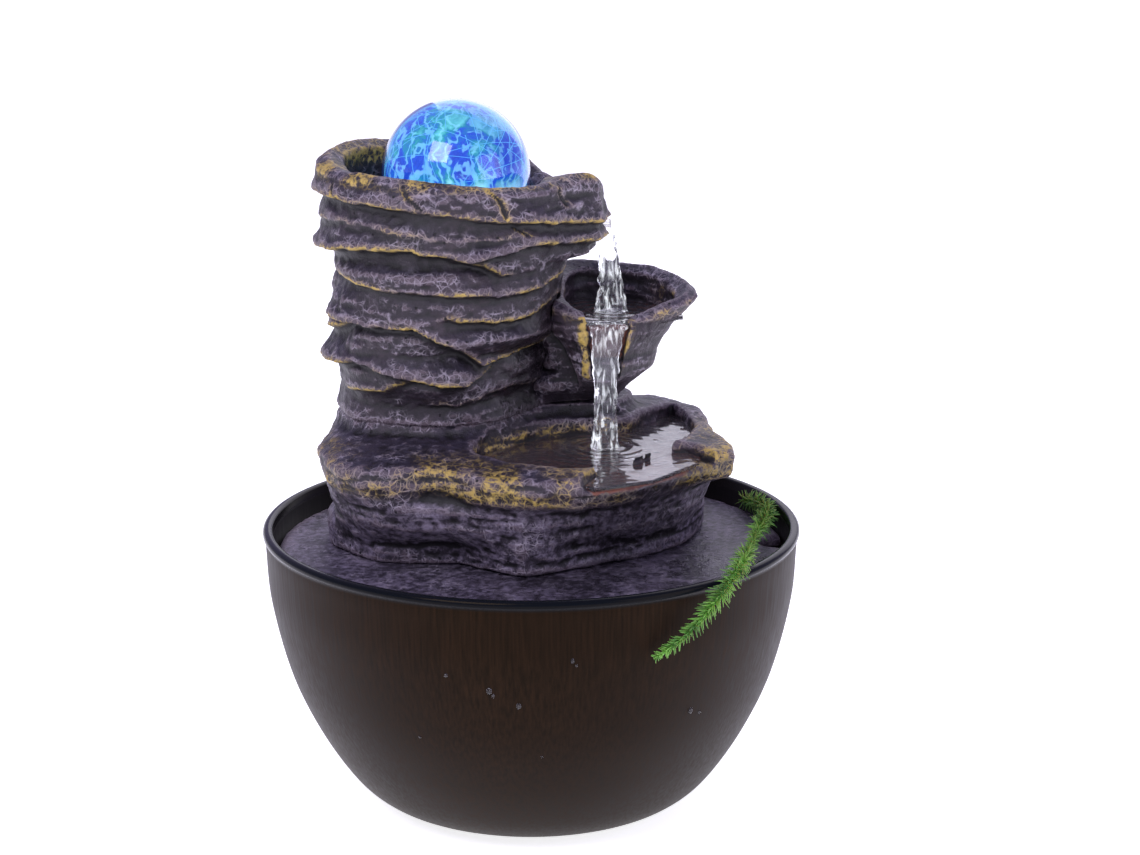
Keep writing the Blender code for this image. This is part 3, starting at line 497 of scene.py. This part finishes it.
def buildColumn(finish):
    plan = columnFolds
    mesh = remeshed("rockColumn", ("trunk", "upper_basin"), 0.8, {"trunk": (0, 0, 0.5 * mm)})
    points, edges = readMesh(mesh)
    points = neighbourMean(points, edges, len(points), 5)
    away = points[:, :2] - np.array(plan["centre"])
    radius = np.linalg.norm(away, axis=1)
    outward = np.column_stack([away / radius[:, None], np.zeros(len(points))])
    angle = np.degrees(np.arctan2(away[:, 0], -away[:, 1]))
    writePoints(mesh, points)
    normals = normalsOf(mesh)
    facing = np.sum(normals * outward, axis=1)
    outer = smoothstep(0.05, 0.45, facing)
    push, gold, shadow = foldRelief(angle, points[:, 2], points, plan)
    keep = smoothstep(250.5, 246, points[:, 2])
    joined = smoothstep(38, 60, angle) * smoothstep(150, 125, angle) * smoothstep(214, 206, points[:, 2])
    push = np.where(push < 0, push * (1 - joined), push) + 1.2 * joined
    for crack in plan["cracks"]:
        heights, turns = zip(*crack)
        # 0.75 turns degrees to about a millimetre on the rim
        off = (angle - np.interp(points[:, 2], heights, turns)) * 0.75
        off += 0.8 * layeredNoise(points, 3, 77, 2)
        along = smoothstep(heights[0] - 1, heights[0] + 1, points[:, 2]) * (points[:, 2] < heights[-1])
        push -= 1.1 * np.exp(-(off / 0.8) ** 2) * along
        gold = np.maximum(gold, np.exp(-(off / 1.5) ** 2) * along)
    lumps = 1.7 * layeredNoise(points, (17, 17, 10), 3, 3) + 0.8 * layeredNoise(points, (11, 11, 3.2), 5, 3)
    fineRelief = 0.34 * layeredNoise(points, 2.8, 7, 3)
    # the foot spreads over the slab and hides the joint
    foot = smoothstep(168, 153, points[:, 2])
    points += outward * ((push * keep + lumps + 3.5 * foot) * outer)[:, None]
    points[:, 2] -= 1.6 * foot
    points += normals * fineRelief[:, None]
    writePoints(mesh, points)
    rimGold = 0.8 * smoothstep(247, 250.5, points[:, 2]) * (layeredNoise(points, 9, 31, 3) > -0.25)
    side = smoothstep(20, 75, angle) * smoothstep(170, 130, angle) * smoothstep(215, 190, points[:, 2])
    patchy = smoothstep(-0.55, 0.15, layeredNoise(points, (13, 13, 9), 61, 3))
    finishRock(mesh, np.maximum(gold * outer * patchy, rimGold * patchy), shadow * outer * keep, side,
               np.zeros(len(points)), np.zeros(len(points)))
    piece = newPiece("rockColumn", mesh, "rock", finish)
    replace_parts(piece, "trunk", "upper_basin")


def buildCasting(name, node, voxel, finish, lump, gold=None, pool=None, wet=None, mist=None, tools=(),
                 reshape=None):
    mesh = remeshed(name, (node,), voxel, tools=tools)
    points, edges = readMesh(mesh)
    if reshape:
        points = reshape(points)
    points = neighbourMean(points, edges, len(points), 4)
    writePoints(mesh, points)
    normals = normalsOf(mesh)
    layers = 1.5 * layeredNoise(points, (19, 19, 3.4), 45, 3)
    flatness = np.abs(normals[:, 2])
    points += normals * (lump * layeredNoise(points, (16, 16, 12), 41, 4) + layers * (1 - flatness)
                         + 0.3 * layeredNoise(points, 2.8, 43, 3))[:, None]
    writePoints(mesh, points)
    paint = gold(points, normals) if gold else np.zeros(len(points))
    silt = np.zeros(len(points))
    if pool:
        level = pools[pool]["level"]
        under = smoothstep(level, level - 2.5, points[:, 2]) * (points[:, 2] > level - 14)
        silt = 0.9 * smoothstep(-0.2, 0.5, normals[:, 2]) * under
        silt *= insideOutline(points, pools[pool]["outline"])
    damp = wet(points) if wet else np.zeros(len(points))
    liftShare = mist(points) if mist else np.zeros(len(points))
    finishRock(mesh, paint, np.zeros(len(points)), damp, silt, liftShare)
    piece = newPiece(name, mesh, "rock", finish)
    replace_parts(piece, node)


def slabGold(points, normals):
    # cracked gold over the rim's face, and a solid line on its upper edge
    face = smoothstep(133, 137, points[:, 2]) * smoothstep(149, 146, points[:, 2])
    line = np.exp(-((points[:, 2] - 145.3 - 0.8 * layeredNoise(points, 9, 57, 2)) / 0.9) ** 2)
    broken = smoothstep(-0.45, 0.15, layeredNoise(points, 12, 51, 3))
    return np.maximum(0.62 * face, 0.9 * line) * broken * smoothstep(50, 10, points[:, 1])


def leafGold(points, normals):
    edge = smoothstep(192, 198, points[:, 2]) * smoothstep(0.75, 0.3, normals[:, 2])
    chute = smoothstep(3.2, 1.2, np.abs(np.abs(points[:, 0] - 29) - 8.5)) * (points[:, 1] < -4)
    broken = smoothstep(-0.4, 0.1, layeredNoise(points, 8, 53, 3))
    return np.maximum(0.6 * edge, 0.95 * chute) * broken * smoothstep(40, 15, points[:, 1])


# each pool's outline and water level, in millimetres, and where its fall lands

pools = {
    "upperPool": {"outline": [(-74, 14), (-66, -8), (-50, -20), (-28, -26), (-8, -22), (3, -10), (7, 8),
                              (31, 9.5), (31, 23), (8, 24), (0, 37), (-20, 50), (-44, 50), (-66, 38)],
                  "level": 229, "impact": (-50, 32)},
    "middlePool": {"outline": [(59, 8), (57, 27), (47, 39), (32, 46), (16, 47), (10, 34), (11, 18), (15, 4),
                               (22, -2.5), (39, -2.5), (51, 2)], "level": 193, "impact": (31, 20)},
    "lowerPool": {"outline": [(-25, -26), (-21, -10), (-8, 5), (4, 15), (26, 21), (36, 24), (43, 38),
                              (48, 57), (57, 58), (63, 45), (66, 28), (66, 12), (66, -8), (64, -25),
                              (46, -50), (24, -61), (8, -47), (-6, -42), (-18, -34)],
                  "level": 143, "impact": (29, 0)},
}


def insideOutline(points, outline):
    count = np.zeros(len(points), int)
    for (x0, y0), (x1, y1) in zip(outline, outline[1:] + outline[:1]):
        if y0 != y1:
            crosses = (points[:, 1] > min(y0, y1)) & (points[:, 1] <= max(y0, y1))
            count += crosses & (points[:, 0] < x0 + (points[:, 1] - y0) * (x1 - x0) / (y1 - y0))
    return count % 2 == 1


def slabWet(points):
    # the overflow runs down the skirt at the front right
    return 0.9 * smoothstep(8, 30, points[:, 0]) * smoothstep(-5, -30, points[:, 1]) * (points[:, 2] < 143)


# painted light: the skirt under the slab's rim, shaded from above, is lifted towards violet-grey
def slabPaintedLift(points):
    return 0.85 * smoothstep(137, 129, points[:, 2])


# painted light: the plate is lifted towards violet-grey in patches
def platePaintedLift(points):
    return 0.6 + 0.45 * layeredNoise(points, 16, 73, 3)


def leafShape(points):
    # the right side draws in towards the foot, as a leaf's does
    inward = 1 - 0.36 * np.clip((198 - points[:, 2]) / 35, 0, 1)
    right = points[:, 0] > 30
    points[right, 0] = 30 + (points[right, 0] - 30) * inward[right]
    return points


def plateWet(points):
    splash = smoothstep(-70, 10, points[:, 0]) * smoothstep(20, -30, points[:, 1])
    return splash * (0.35 + 0.5 * (layeredNoise(points, 7, 71, 3) > 0))


rockPaint = rockFinish("paintedPolyresin")
buildColumn(rockPaint)
print("column done")
buildCasting("rockSlab", "lower_basin", 1.0, rockPaint, lump=1.5, gold=slabGold, pool="lowerPool",
             wet=slabWet, mist=slabPaintedLift)
print("slab done")
# the leaf's front is open: a sill at the water's level, then a chute narrowing down its face
leafTools = [
    prism("sill", [(16.5, 210), (42, 210), (36.5, 190.8), (22.5, 190.8)], -25, 8),
    prism("leftFlank", [(-14, 197), (3.5, 197), (18.5, 171), (18.5, 158), (-14, 158)], -25, 13),
    prism("chute", [(21.5, 192), (37.5, 192), (34.5, 173), (34, 166), (23, 166), (23.4, 173)], -25, -4.2),
]
buildCasting("rockLeaf", "middle_basin", 0.7, rockPaint, lump=0.5, gold=leafGold, pool="middlePool",
             tools=leafTools, reshape=leafShape)
print("leaf done")
buildCasting("rockPlate", "base_plate", 1.1, rockPaint, lump=0.2, wet=plateWet, mist=platePaintedLift)
print("plate done")


# lines through given points

def smoothLine(points, steps):
    line = [Vector(point) for point in points]
    line = [2 * line[0] - line[1], *line, 2 * line[-1] - line[-2]]
    out = []
    for index in range(1, len(line) - 2):
        before, start, end, after = line[index - 1:index + 3]
        for step in range(steps):
            t = step / steps
            out.append(0.5 * (2 * start + (end - before) * t
                              + (2 * before - 5 * start + 4 * end - after) * t * t
                              + (3 * start - before - 3 * end + after) * t ** 3))
    return [*out, line[-2]]


# bowl: satin brown plastic with upright brush marks, a blue-black bead and a black inside

bowlPlan = {
    "wall": [(104, 107), (102.2, 84.7), (95.3, 56.5), (85.2, 33.9), (73.5, 15.8), (64, 6.8), (54, 2.3),
             (50, 0.6)],
    "bead": [(101, 112), (101.6, 112.8), (102.6, 113), (103.6, 113), (104.4, 112.6), (104.9, 111.9),
             (105, 111.1),
             (104.8, 110.3), (104.2, 109.8), (103.9, 109.3), (103.95, 108.4)],
    "inside": [(0, 4.5), (57, 4.5), (61.5, 6.6), (69.6, 15.8), (81.3, 33.9), (91.4, 56.5), (98.3, 84.7),
               (99.2, 91),
               (96, 95.5), (96, 98), (100.6, 98.1)],
    "steps": 160,
}


def bowlFinish():
    made, tree, shader = newMaterial("brownSatinPlastic")
    coords = addNode(tree, "TexCoord").outputs["Object"]
    streaked = addNode(tree, "Mapping", {}, {"Vector": coords, "Scale": (1, 1, 0.02)})
    marks = addNode(tree, "TexNoise", {}, {"Vector": streaked, "Scale": 900, "Detail": 4})
    cloud = addNode(tree, "TexNoise", {}, {"Vector": coords, "Scale": 14, "Detail": 3})
    colour = addNode(tree, "ValToRGB", {}, {0: marks}, [(0.3, "#110b08"), (0.7, "#23170f")])
    clouded = addNode(tree, "ValToRGB", {}, {0: cloud}, [(0.4, 0), (0.7, 0.45)])
    colour = addNode(tree, "Mix", blend, {0: clouded, 6: colour, 7: "#120c0a"})
    # the bead starts 109 mm up; the ramp spans 200 mm
    height = addNode(tree, "SeparateXYZ", {}, {0: coords}).outputs["Z"]
    height = addNode(tree, "Math", multiply, {0: height, 1: 1 / 0.2})
    atBead = addNode(tree, "ValToRGB", {}, {0: height}, [(0.5455, 0), (0.5475, 1)])
    colour = addNode(tree, "Mix", blend, {0: atBead, 6: colour, 7: "#0a0f15"})
    # faces that look back at the middle are the black inside
    normal = addNode(tree, "NewGeometry").outputs["Normal"]
    facing = addNode(tree, "VectorMath", {"operation": "DOT_PRODUCT"}, {0: normal, 1: coords}).outputs["Value"]
    facing = addNode(tree, "Math", multiply, {0: facing, 1: -40})
    inside = addNode(tree, "ValToRGB", {}, {0: facing}, [(0.0, 0), (0.35, 1)])
    colour = addNode(tree, "Mix", blend, {0: inside, 6: colour, 7: "#050506"})
    satin = addNode(tree, "ValToRGB", {}, {0: marks}, [(0.3, 0.42), (0.7, 0.54)])
    rough = addNode(tree, "Mix", blend, {0: atBead, 6: satin, 7: 0.2})
    bump = addNode(tree, "Bump", {}, {"Height": marks, "Strength": 0.15, "Distance": 0.0002})
    connect(tree, shader, {"Base Color": colour, "Roughness": rough, "Normal": bump,
                           "Specular IOR Level": 0.18, "Specular Tint": "#a18a60"})
    return made


def bowlWall():
    corners = [(radius, 0, height) for radius, height in bowlPlan["wall"]]
    return [(point.x, point.z) for point in smoothLine(corners, 7)]


def buildBowl():
    foot = [(47, 0.5), (45, 2), (0, 2)]
    profile = bowlPlan["inside"] + bowlPlan["bead"] + bowlWall() + foot
    piece = newPiece("bowlShell", spunMesh("bowlShell", profile, bowlPlan["steps"]), "bowl", bowlFinish())
    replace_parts(piece, "bowl")


buildBowl()
print("bowl done")


# glass ball: a hollow blue shell, a glowing core, and fine strands, painted to glow, wound between them

ballPlan = {"centre": (-28.7, 12, 248.8), "radius": 28.6, "wall": 0.8, "core": 27.0, "strands": 110}


def glassFinish():
    made, tree, shader = newMaterial("blueTintedGlass")
    # clear glass with a faint blue glow, painted light
    connect(tree, shader, {"Base Color": "#c2d3ff", "Transmission Weight": 1.0, "Roughness": 0.03, "IOR": 1.45,
                           "Specular IOR Level": 0.3, "Emission Color": "#2a4fc8", "Emission Strength": 0.04})
    return made


def coreFinish():
    # lit from below: mint low down, teal and blue swirls above, dark blue to the upper right
    made, tree, shader = newMaterial("litSwirlGlass")
    coords = addNode(tree, "TexCoord").outputs["Object"]
    middle = [-value * mm for value in ballPlan["centre"]]
    centred = addNode(tree, "Mapping", {}, {"Vector": coords, "Location": middle})
    warp = addNode(tree, "TexNoise", {}, {"Vector": centred, "Scale": 42, "Detail": 4}).outputs["Color"]
    bent = addNode(tree, "Mix", {**blend, "blend_type": "ADD"}, {0: 0.035, 6: centred, 7: warp})
    swirl = addNode(tree, "TexNoise", {}, {"Vector": bent, "Scale": 62, "Detail": 6, "Roughness": 0.6})
    lines = addNode(tree, "TexWave", {}, {"Vector": bent, "Scale": 48, "Distortion": 22, "Detail": 4})
    colour = addNode(tree, "ValToRGB", {}, {0: swirl}, [(0.32, "#1a2f8c"), (0.45, "#2457b8"), (0.54, "#1f9a8c"),
                                                        (0.66, "#7fe8c4")])
    spot = addNode(tree, "SeparateXYZ", {}, {0: centred})
    depth = addNode(tree, "Math", multiply, {0: spot.outputs["Z"], 1: -30})
    swirled = addNode(tree, "Math", multiply, {0: swirl, 1: 0.9})
    low = addNode(tree, "Math", add, {0: depth, 1: swirled})
    low = addNode(tree, "ValToRGB", {}, {0: low}, [(0.42, 0), (0.75, 0.95)])
    colour = addNode(tree, "Mix", blend, {0: low, 6: colour, 7: "#d6fff0"})
    glintStrength = addNode(tree, "ValToRGB", {}, {0: lines.outputs["Fac"]}, [(0.72, 0), (0.95, 0.5)])
    colour = addNode(tree, "Mix", blend, {0: glintStrength, 6: colour, 7: "#a6f5ec"})
    across = addNode(tree, "Math", multiply, {0: spot.outputs["X"], 1: 26})
    above = addNode(tree, "Math", multiply, {0: spot.outputs["Z"], 1: 14})
    far = addNode(tree, "Math", add, {0: across, 1: above})
    far = addNode(tree, "ValToRGB", {}, {0: far}, [(0.2, 0), (0.85, 0.7)])
    colour = addNode(tree, "Mix", blend, {0: far, 6: colour, 7: "#16308e"})
    connect(tree, shader, {"Base Color": "#0a1430", "Emission Color": colour, "Emission Strength": 1.65,
                           "Roughness": 0.3})
    return made


def strandFinish():
    made, tree, shader = newMaterial("glowingGlassStrand")
    # painted light: the strands glow pale cyan
    connect(tree, shader, {"Base Color": "#3f8fb8", "Emission Color": "#8ff0ee", "Emission Strength": 0.8})
    return made


def ballSphere(name, radius, detail=96):
    bm = bmesh.new()
    bmesh.ops.create_uvsphere(bm, u_segments=detail, v_segments=detail // 2, radius=radius * mm)
    bmesh.ops.translate(bm, verts=bm.verts, vec=Vector(ballPlan["centre"]) * mm)
    return meshOf(bm, name)


def buildBall():
    shell = newPiece("ballShell", ballSphere("ballShell", ballPlan["radius"]), "ball", glassFinish())
    thick = shell.modifiers.new("wall", "SOLIDIFY")
    thick.thickness = ballPlan["wall"] * mm
    thick.offset = -1
    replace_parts(shell, "glass_ball")
    core = newPiece("ballCore", ballSphere("ballCore", ballPlan["core"], 64), "ball", coreFinish())
    # each strand is part of a tilted circle between the core and the shell
    curve = bpy.data.curves.new("ballStrands", "CURVE")
    curve.dimensions = "3D"
    curve.bevel_depth = 0.1 * mm
    curve.bevel_resolution = 1
    curve.use_fill_caps = True
    dice = np.random.default_rng(4)
    for _ in range(ballPlan["strands"]):
        axis = Vector(dice.normal(size=3)).normalized()
        across = axis.orthogonal().normalized()
        along = axis.cross(across)
        start, sweep = dice.uniform(0, 2 * math.pi), dice.uniform(0.7, 2.4)
        radius = dice.uniform(27.4, 27.7)
        line = curve.splines.new("POLY")
        line.points.add(17)
        for index, point in enumerate(line.points):
            turn = start + sweep * index / 17
            spot = Vector(ballPlan["centre"]) + radius * (math.cos(turn) * across + math.sin(turn) * along)
            point.co = (*(spot * mm), 1)
    holder = bpy.data.objects.new("strandLines", curve)
    bpy.context.scene.collection.objects.link(holder)
    mesh = evaluated(holder)
    bpy.data.objects.remove(holder, do_unlink=True)
    strands = newPiece("ballStrands", mesh, "ball", strandFinish())


buildBall()
print("ball done")


# water: three clear pools, and two falls with white threads of painted highlight that glow

waterPlan = {
    "cell": 0.9,                 # mm between points on a pool
    "depth": 1.2,                # mm, of the sheet that stands for a pool
    "sides": 40,                 # points round a fall
    "steps": 14,                 # rings between two of a fall's points
    # each fall as (x, y, height, width, depth) in millimetres
    "upperFall": [(25, 19, 227.4, 7, 4), (28.2, 20, 226, 7.5, 4), (30, 20, 219, 8, 4), (31, 20, 205, 8.5, 4.5),
                  (31.4, 20, 192.4, 13, 8)],
    "lowerFall": [(29.7, 1, 192.9, 15, 2), (29.6, -4.2, 191.6, 14, 2.2), (29, -5.2, 184, 10.5, 2.6),
                  (28.7, -5.4, 171, 8.8, 3.4), (28.7, -4, 158, 8.2, 4), (28.8, -1, 142.4, 10.5, 7)],
}


def waterFinish(name, tint, clear, glintStrength=0.0):
    # the last argument is how strongly white streaks, drawn out downwards, show in it; they are painted
    # highlights that glow
    made, tree, shader = newMaterial(name)
    connect(tree, shader, {"Base Color": tint, "Transmission Weight": clear, "Roughness": 0.05, "IOR": 1.33,
                           "Specular IOR Level": 0.25})
    if glintStrength:
        coords = addNode(tree, "TexCoord").outputs["Object"]
        drawn = addNode(tree, "Mapping", {}, {"Vector": coords, "Scale": (1, 1, 0.16)})
        streak = addNode(tree, "TexNoise", {}, {"Vector": drawn, "Scale": 620, "Detail": 3, "Distortion": 0.6})
        share = addNode(tree, "ValToRGB", {}, {0: streak}, [(0.55, 0), (0.68, glintStrength)])
        connect(tree, shader, {"Emission Color": "#eef2f8", "Emission Strength": share})
    return made


def waterPool(name, outline, level, impact, finish):
    # a fine sheet inside the outline, with rings spreading from where the fall lands
    low, high = np.min(outline, axis=0), np.max(outline, axis=0)
    size = high - low
    bm = bmesh.new()
    across, along = (int(side / waterPlan["cell"]) for side in size)
    bmesh.ops.create_grid(bm, x_segments=across, y_segments=along, size=0.5)
    for vert in bm.verts:
        vert.co = (low[0] + (vert.co.x + 0.5) * size[0], low[1] + (vert.co.y + 0.5) * size[1], 0)
    middles = np.array([face.calc_center_median()[:2] for face in bm.faces])
    outside = ~insideOutline(middles, outline)
    gone = [face for face, isOut in zip(list(bm.faces), outside) if isOut]
    bmesh.ops.delete(bm, geom=gone, context="FACES")
    spots = np.array([vert.co for vert in bm.verts])
    away = np.hypot(spots[:, 0] - impact[0], spots[:, 1] - impact[1])
    wave = 0.45 * np.cos(away * 1.15) * np.exp(-away / 11) + 0.2 * layeredNoise(spots, 6, 81, 3)
    for vert, rise in zip(bm.verts, wave):
        vert.co = (vert.co.x * mm, vert.co.y * mm, (level + rise) * mm)
    mesh = meshOf(bm, name)
    piece = newPiece(name, mesh, "rock", finish)
    thick = piece.modifiers.new("depth", "SOLIDIFY")
    thick.thickness = waterPlan["depth"] * mm
    thick.offset = -1


def waterFall(name, finish, seed):
    # the section is an oval that wavers on the way down
    line, sides, steps = waterPlan[name], waterPlan["sides"], waterPlan["steps"]
    spots = smoothLine([point[:3] for point in line], steps)
    sizes = smoothLine([(*point[3:], 0) for point in line], steps)
    rings = []
    for spot, size in zip(spots, sizes):
        turn = np.linspace(0, 2 * math.pi, sides, endpoint=False)
        rings.append(np.column_stack([spot.x + 0.5 * size.x * np.cos(turn),
                                      spot.y + 0.5 * size.y * np.sin(turn), np.full(sides, spot.z)]))
    points = np.concatenate(rings)
    centres = np.repeat(np.array(spots), sides, axis=0)
    ridges = 1 + 0.3 * layeredNoise(points, (2.4, 2.4, 13), seed, 3)
    ridges += 0.24 * layeredNoise(points, (1.8, 1.8, 2.6), seed + 9, 3)
    points[:, :2] = centres[:, :2] + (points[:, :2] - centres[:, :2]) * ridges[:, None]
    bm = bmesh.new()
    verts = [bm.verts.new(point * mm) for point in points]
    loops = [verts[at:at + sides] for at in range(0, len(verts), sides)]
    for upper, lower in zip(loops, loops[1:]):
        edges = [bm.edges.get(pair) or bm.edges.new(pair) for ring in (upper, lower)
                 for pair in zip(ring, ring[1:] + ring[:1])]
        bmesh.ops.bridge_loops(bm, edges=edges)
    bm.faces.new(loops[0])
    bm.faces.new(loops[-1])
    newPiece(name, meshOf(bm, name), "rock", finish)


water = waterFinish("clearWater", "#d6d4d6", 0.97)
glintedWater = waterFinish("paintedGlintWater", "#f6f7fa", 0.96, 0.75)
for name, pool in pools.items():
    waterPool(name, pool["outline"], pool["level"], pool["impact"], water)
waterFall("upperFall", glintedWater, 91)
waterFall("lowerFall", glintedWater, 97)
print("water done")


# drops that have run down the bowl: (degrees round from the front, height, radius)

drops = [(-8, 78, 1.3), (-7.2, 76, 0.8), (-2, 72, 1.1), (-17, 83, 0.8), (9, 90, 0.9), (9.8, 88, 0.6),
         (38, 62, 1.2), (41, 60, 0.7), (-25, 55, 0.6), (3, 50, 0.5)]


def buildDrops(finish):
    radii, heights = zip(*reversed(bowlWall()))
    bm = bmesh.new()
    for turn, height, size in drops:
        radius = np.interp(height, heights, radii)
        around = math.radians(turn)
        spot = Vector((math.sin(around) * radius, -math.cos(around) * radius, height)) * mm
        grown = bmesh.ops.create_uvsphere(bm, u_segments=16, v_segments=10, radius=size * mm)
        bmesh.ops.scale(bm, verts=grown["verts"], vec=(0.9, 0.55, 1.15))
        bmesh.ops.rotate(bm, verts=grown["verts"], matrix=Matrix.Rotation(around, 3, "Z"))
        bmesh.ops.translate(bm, verts=grown["verts"], vec=spot)
    newPiece("bowlDrops", meshOf(bm, "bowlDrops"), "bowl", finish)


buildDrops(water)


# fern: an arching stem with whorls of soft needles

fernPlan = {
    "stem": [(86, 48, 107.5), (92, 27, 112), (93, 10, 112.5), (88, -14, 113), (82, -50, 116), (77, -74, 116.5),
             (68, -89, 108.5), (57, -94, 97), (46, -97, 89.5)],
    "thickness": 0.55,           # mm, the stem's radius
    "whorl": 9,                  # needles round each step of the stem
    "length": 6.2,               # mm, of a needle
}


def fernFinish():
    made, tree, shader = newMaterial("fernGreen")
    coords = addNode(tree, "TexCoord").outputs["Object"]
    noise = addNode(tree, "TexNoise", {}, {"Vector": coords, "Scale": 130, "Detail": 3})
    colour = addNode(tree, "ValToRGB", {}, {0: noise}, [(0.35, "#2f6420"), (0.65, "#6aa636")])
    connect(tree, shader, {"Base Color": colour, "Roughness": 0.6, "Subsurface Weight": 0.1})
    return made


def buildFern():
    line = smoothLine(fernPlan["stem"], 10)
    dice = np.random.default_rng(9)
    bm = bmesh.new()
    for index, (start, end) in enumerate(zip(line, line[1:])):
        along = (end - start).normalized()
        share = index / len(line)
        rod = bmesh.ops.create_cone(bm, cap_ends=True, segments=6, radius1=fernPlan["thickness"] * mm,
                                    radius2=fernPlan["thickness"] * mm,
                                    depth=(end - start).length * mm * 1.15)
        turn = along.to_track_quat("Z", "Y").to_matrix()
        bmesh.ops.rotate(bm, verts=rod["verts"], matrix=turn)
        bmesh.ops.translate(bm, verts=rod["verts"], vec=(start + end) / 2 * mm)
        reach = fernPlan["length"] * min(1, 0.35 + 2.2 * (1 - share)) * (0.7 if 0.36 < share < 0.5 else 1)
        for leaf in range(fernPlan["whorl"]):
            size = reach * dice.uniform(0.7, 1.1)
            turned = 2 * math.pi * (leaf + dice.uniform(-0.4, 0.4)) / fernPlan["whorl"]
            around = Matrix.Rotation(turned, 3, along)
            out = (around @ along.orthogonal().normalized() + along * dice.uniform(0.5, 1.0)).normalized()
            needle = bmesh.ops.create_cone(bm, cap_ends=True, segments=5, radius1=0.42 * mm,
                                           radius2=0.1 * mm, depth=size * mm)
            bmesh.ops.rotate(bm, verts=needle["verts"], matrix=out.to_track_quat("Z", "Y").to_matrix())
            base = start.lerp(end, dice.uniform(0, 1))
            bmesh.ops.translate(bm, verts=needle["verts"], vec=(base + out * size / 2) * mm)
    piece = newPiece("fernSprig", meshOf(bm, "fernSprig"), "rock", fernFinish())
    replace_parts(piece, "fern_sprig")


buildFern()
print("fern done")


# lamp lead: hangs down inside the hollow rock, from under the lamp to the plug on the pump

leadPlan = {
    "route": [(-28.7, 12, 204), (-28.7, 12, 190), (-35, 19, 172), (-38, 22, 150), (-38, 22, 112), (-30, 17, 92),
              (-6, 8, 76), (9, 1.5, 66), (12, 0, 51.8)],
    "radius": 0.9,
    "length": 0.182,             # metres, from the lamp to its plug
}


def buildLampLead(finish):
    line = smoothLine(leadPlan["route"], 4)
    curve = bpy.data.curves.new("lampLead", "CURVE")
    curve.dimensions = "3D"
    curve.bevel_depth = leadPlan["radius"] * mm
    curve.use_fill_caps = True
    spline = curve.splines.new("POLY")
    spline.points.add(len(line) - 1)
    for point, spot in zip(spline.points, line):
        point.co = (*(spot * mm), 1)
    curve.materials.append(finish)
    lead = bpy.data.objects.new("lampLead", curve)
    bpy.context.scene.collection.objects.link(lead)
    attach(lead, "rock")
    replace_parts(lead, "lamp_lead")


# finishes for the pieces kept from the frame

def plainFinish(name, colour, roughness, scale=900, depth=0.15, transmission=0.0):
    made, tree, shader = newMaterial(name)
    coords = addNode(tree, "TexCoord").outputs["Object"]
    noise = addNode(tree, "TexNoise", {}, {"Vector": coords, "Scale": scale, "Detail": 4})
    base = hexColour(colour)
    darker = (*[value * 0.8 for value in base[:3]], 1)
    shade = addNode(tree, "ValToRGB", {}, {0: noise}, [(0.35, darker), (0.65, base)])
    bump = addNode(tree, "Bump", {}, {"Height": noise, "Strength": depth, "Distance": 0.0002})
    connect(tree, shader, {"Base Color": shade, "Roughness": roughness, "Normal": bump, "Metallic": 0.0,
                           "Transmission Weight": transmission})
    return made


finishes = {
    "black_plastic": plainFinish("blackPumpPlastic", "#17181a", 0.42),
    "rubber": plainFinish("blackRubber", "#111112", 0.75, depth=0.3),
    "lamp_lens": plainFinish("clearLens", "#dfe8ea", 0.08, transmission=0.9, depth=0.02),
    "circuit_board": plainFinish("greenBoard", "#1d4a2c", 0.5),
    "led_resin": plainFinish("ledResin", "#d8f2ec", 0.15, transmission=0.5, depth=0.03),
    "hose_vinyl": plainFinish("clearVinyl", "#c9d0ce", 0.2, transmission=0.6, depth=0.05),
    "shaft_ceramic": plainFinish("whiteCeramic", "#d9d8d0", 0.25, depth=0.05),
    "ferrite": plainFinish("greyFerrite", "#3a3b3d", 0.55),
    "white_plastic": plainFinish("whitePlastic", "#d5d5d0", 0.4),
    "filter_foam": plainFinish("blackFoam", "#121314", 0.95, scale=1400, depth=0.9),
}


def paintKeptNodes():
    # every part that no piece stands for keeps its mesh and takes the finish of its slot
    stoodFor = {node for piece in bpy.data.objects for node in piece.get("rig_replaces", [])}
    slots = {part["node"]: part["material_slot"] for part in frame["record"]["subparts"]}
    for name, node in frame["nodes"].items():
        if name in stoodFor:
            continue
        node.data.materials.clear()
        node.data.materials.append(finishes[slots[name]])


buildLampLead(finishes["rubber"])
paintKeptNodes()
print("finishes done")


# floor: pale paper that glows a little, so that it stays white

floorMesh = bpy.data.meshes.new("floor")
bm = bmesh.new()
bmesh.ops.create_grid(bm, x_segments=1, y_segments=1, size=6)
bm.to_mesh(floorMesh)
bm.free()
floorPaint, floorTree, floorShader = newMaterial("paperSweep")
connect(floorTree, floorShader, {"Base Color": "#fbfbfb", "Roughness": 0.9, "Emission Color": "#ffffff",
                                 "Emission Strength": 0.8})
floorMesh.materials.append(floorPaint)
floor = bpy.data.objects.new("floor", floorMesh)
bpy.context.scene.collection.objects.link(floor)
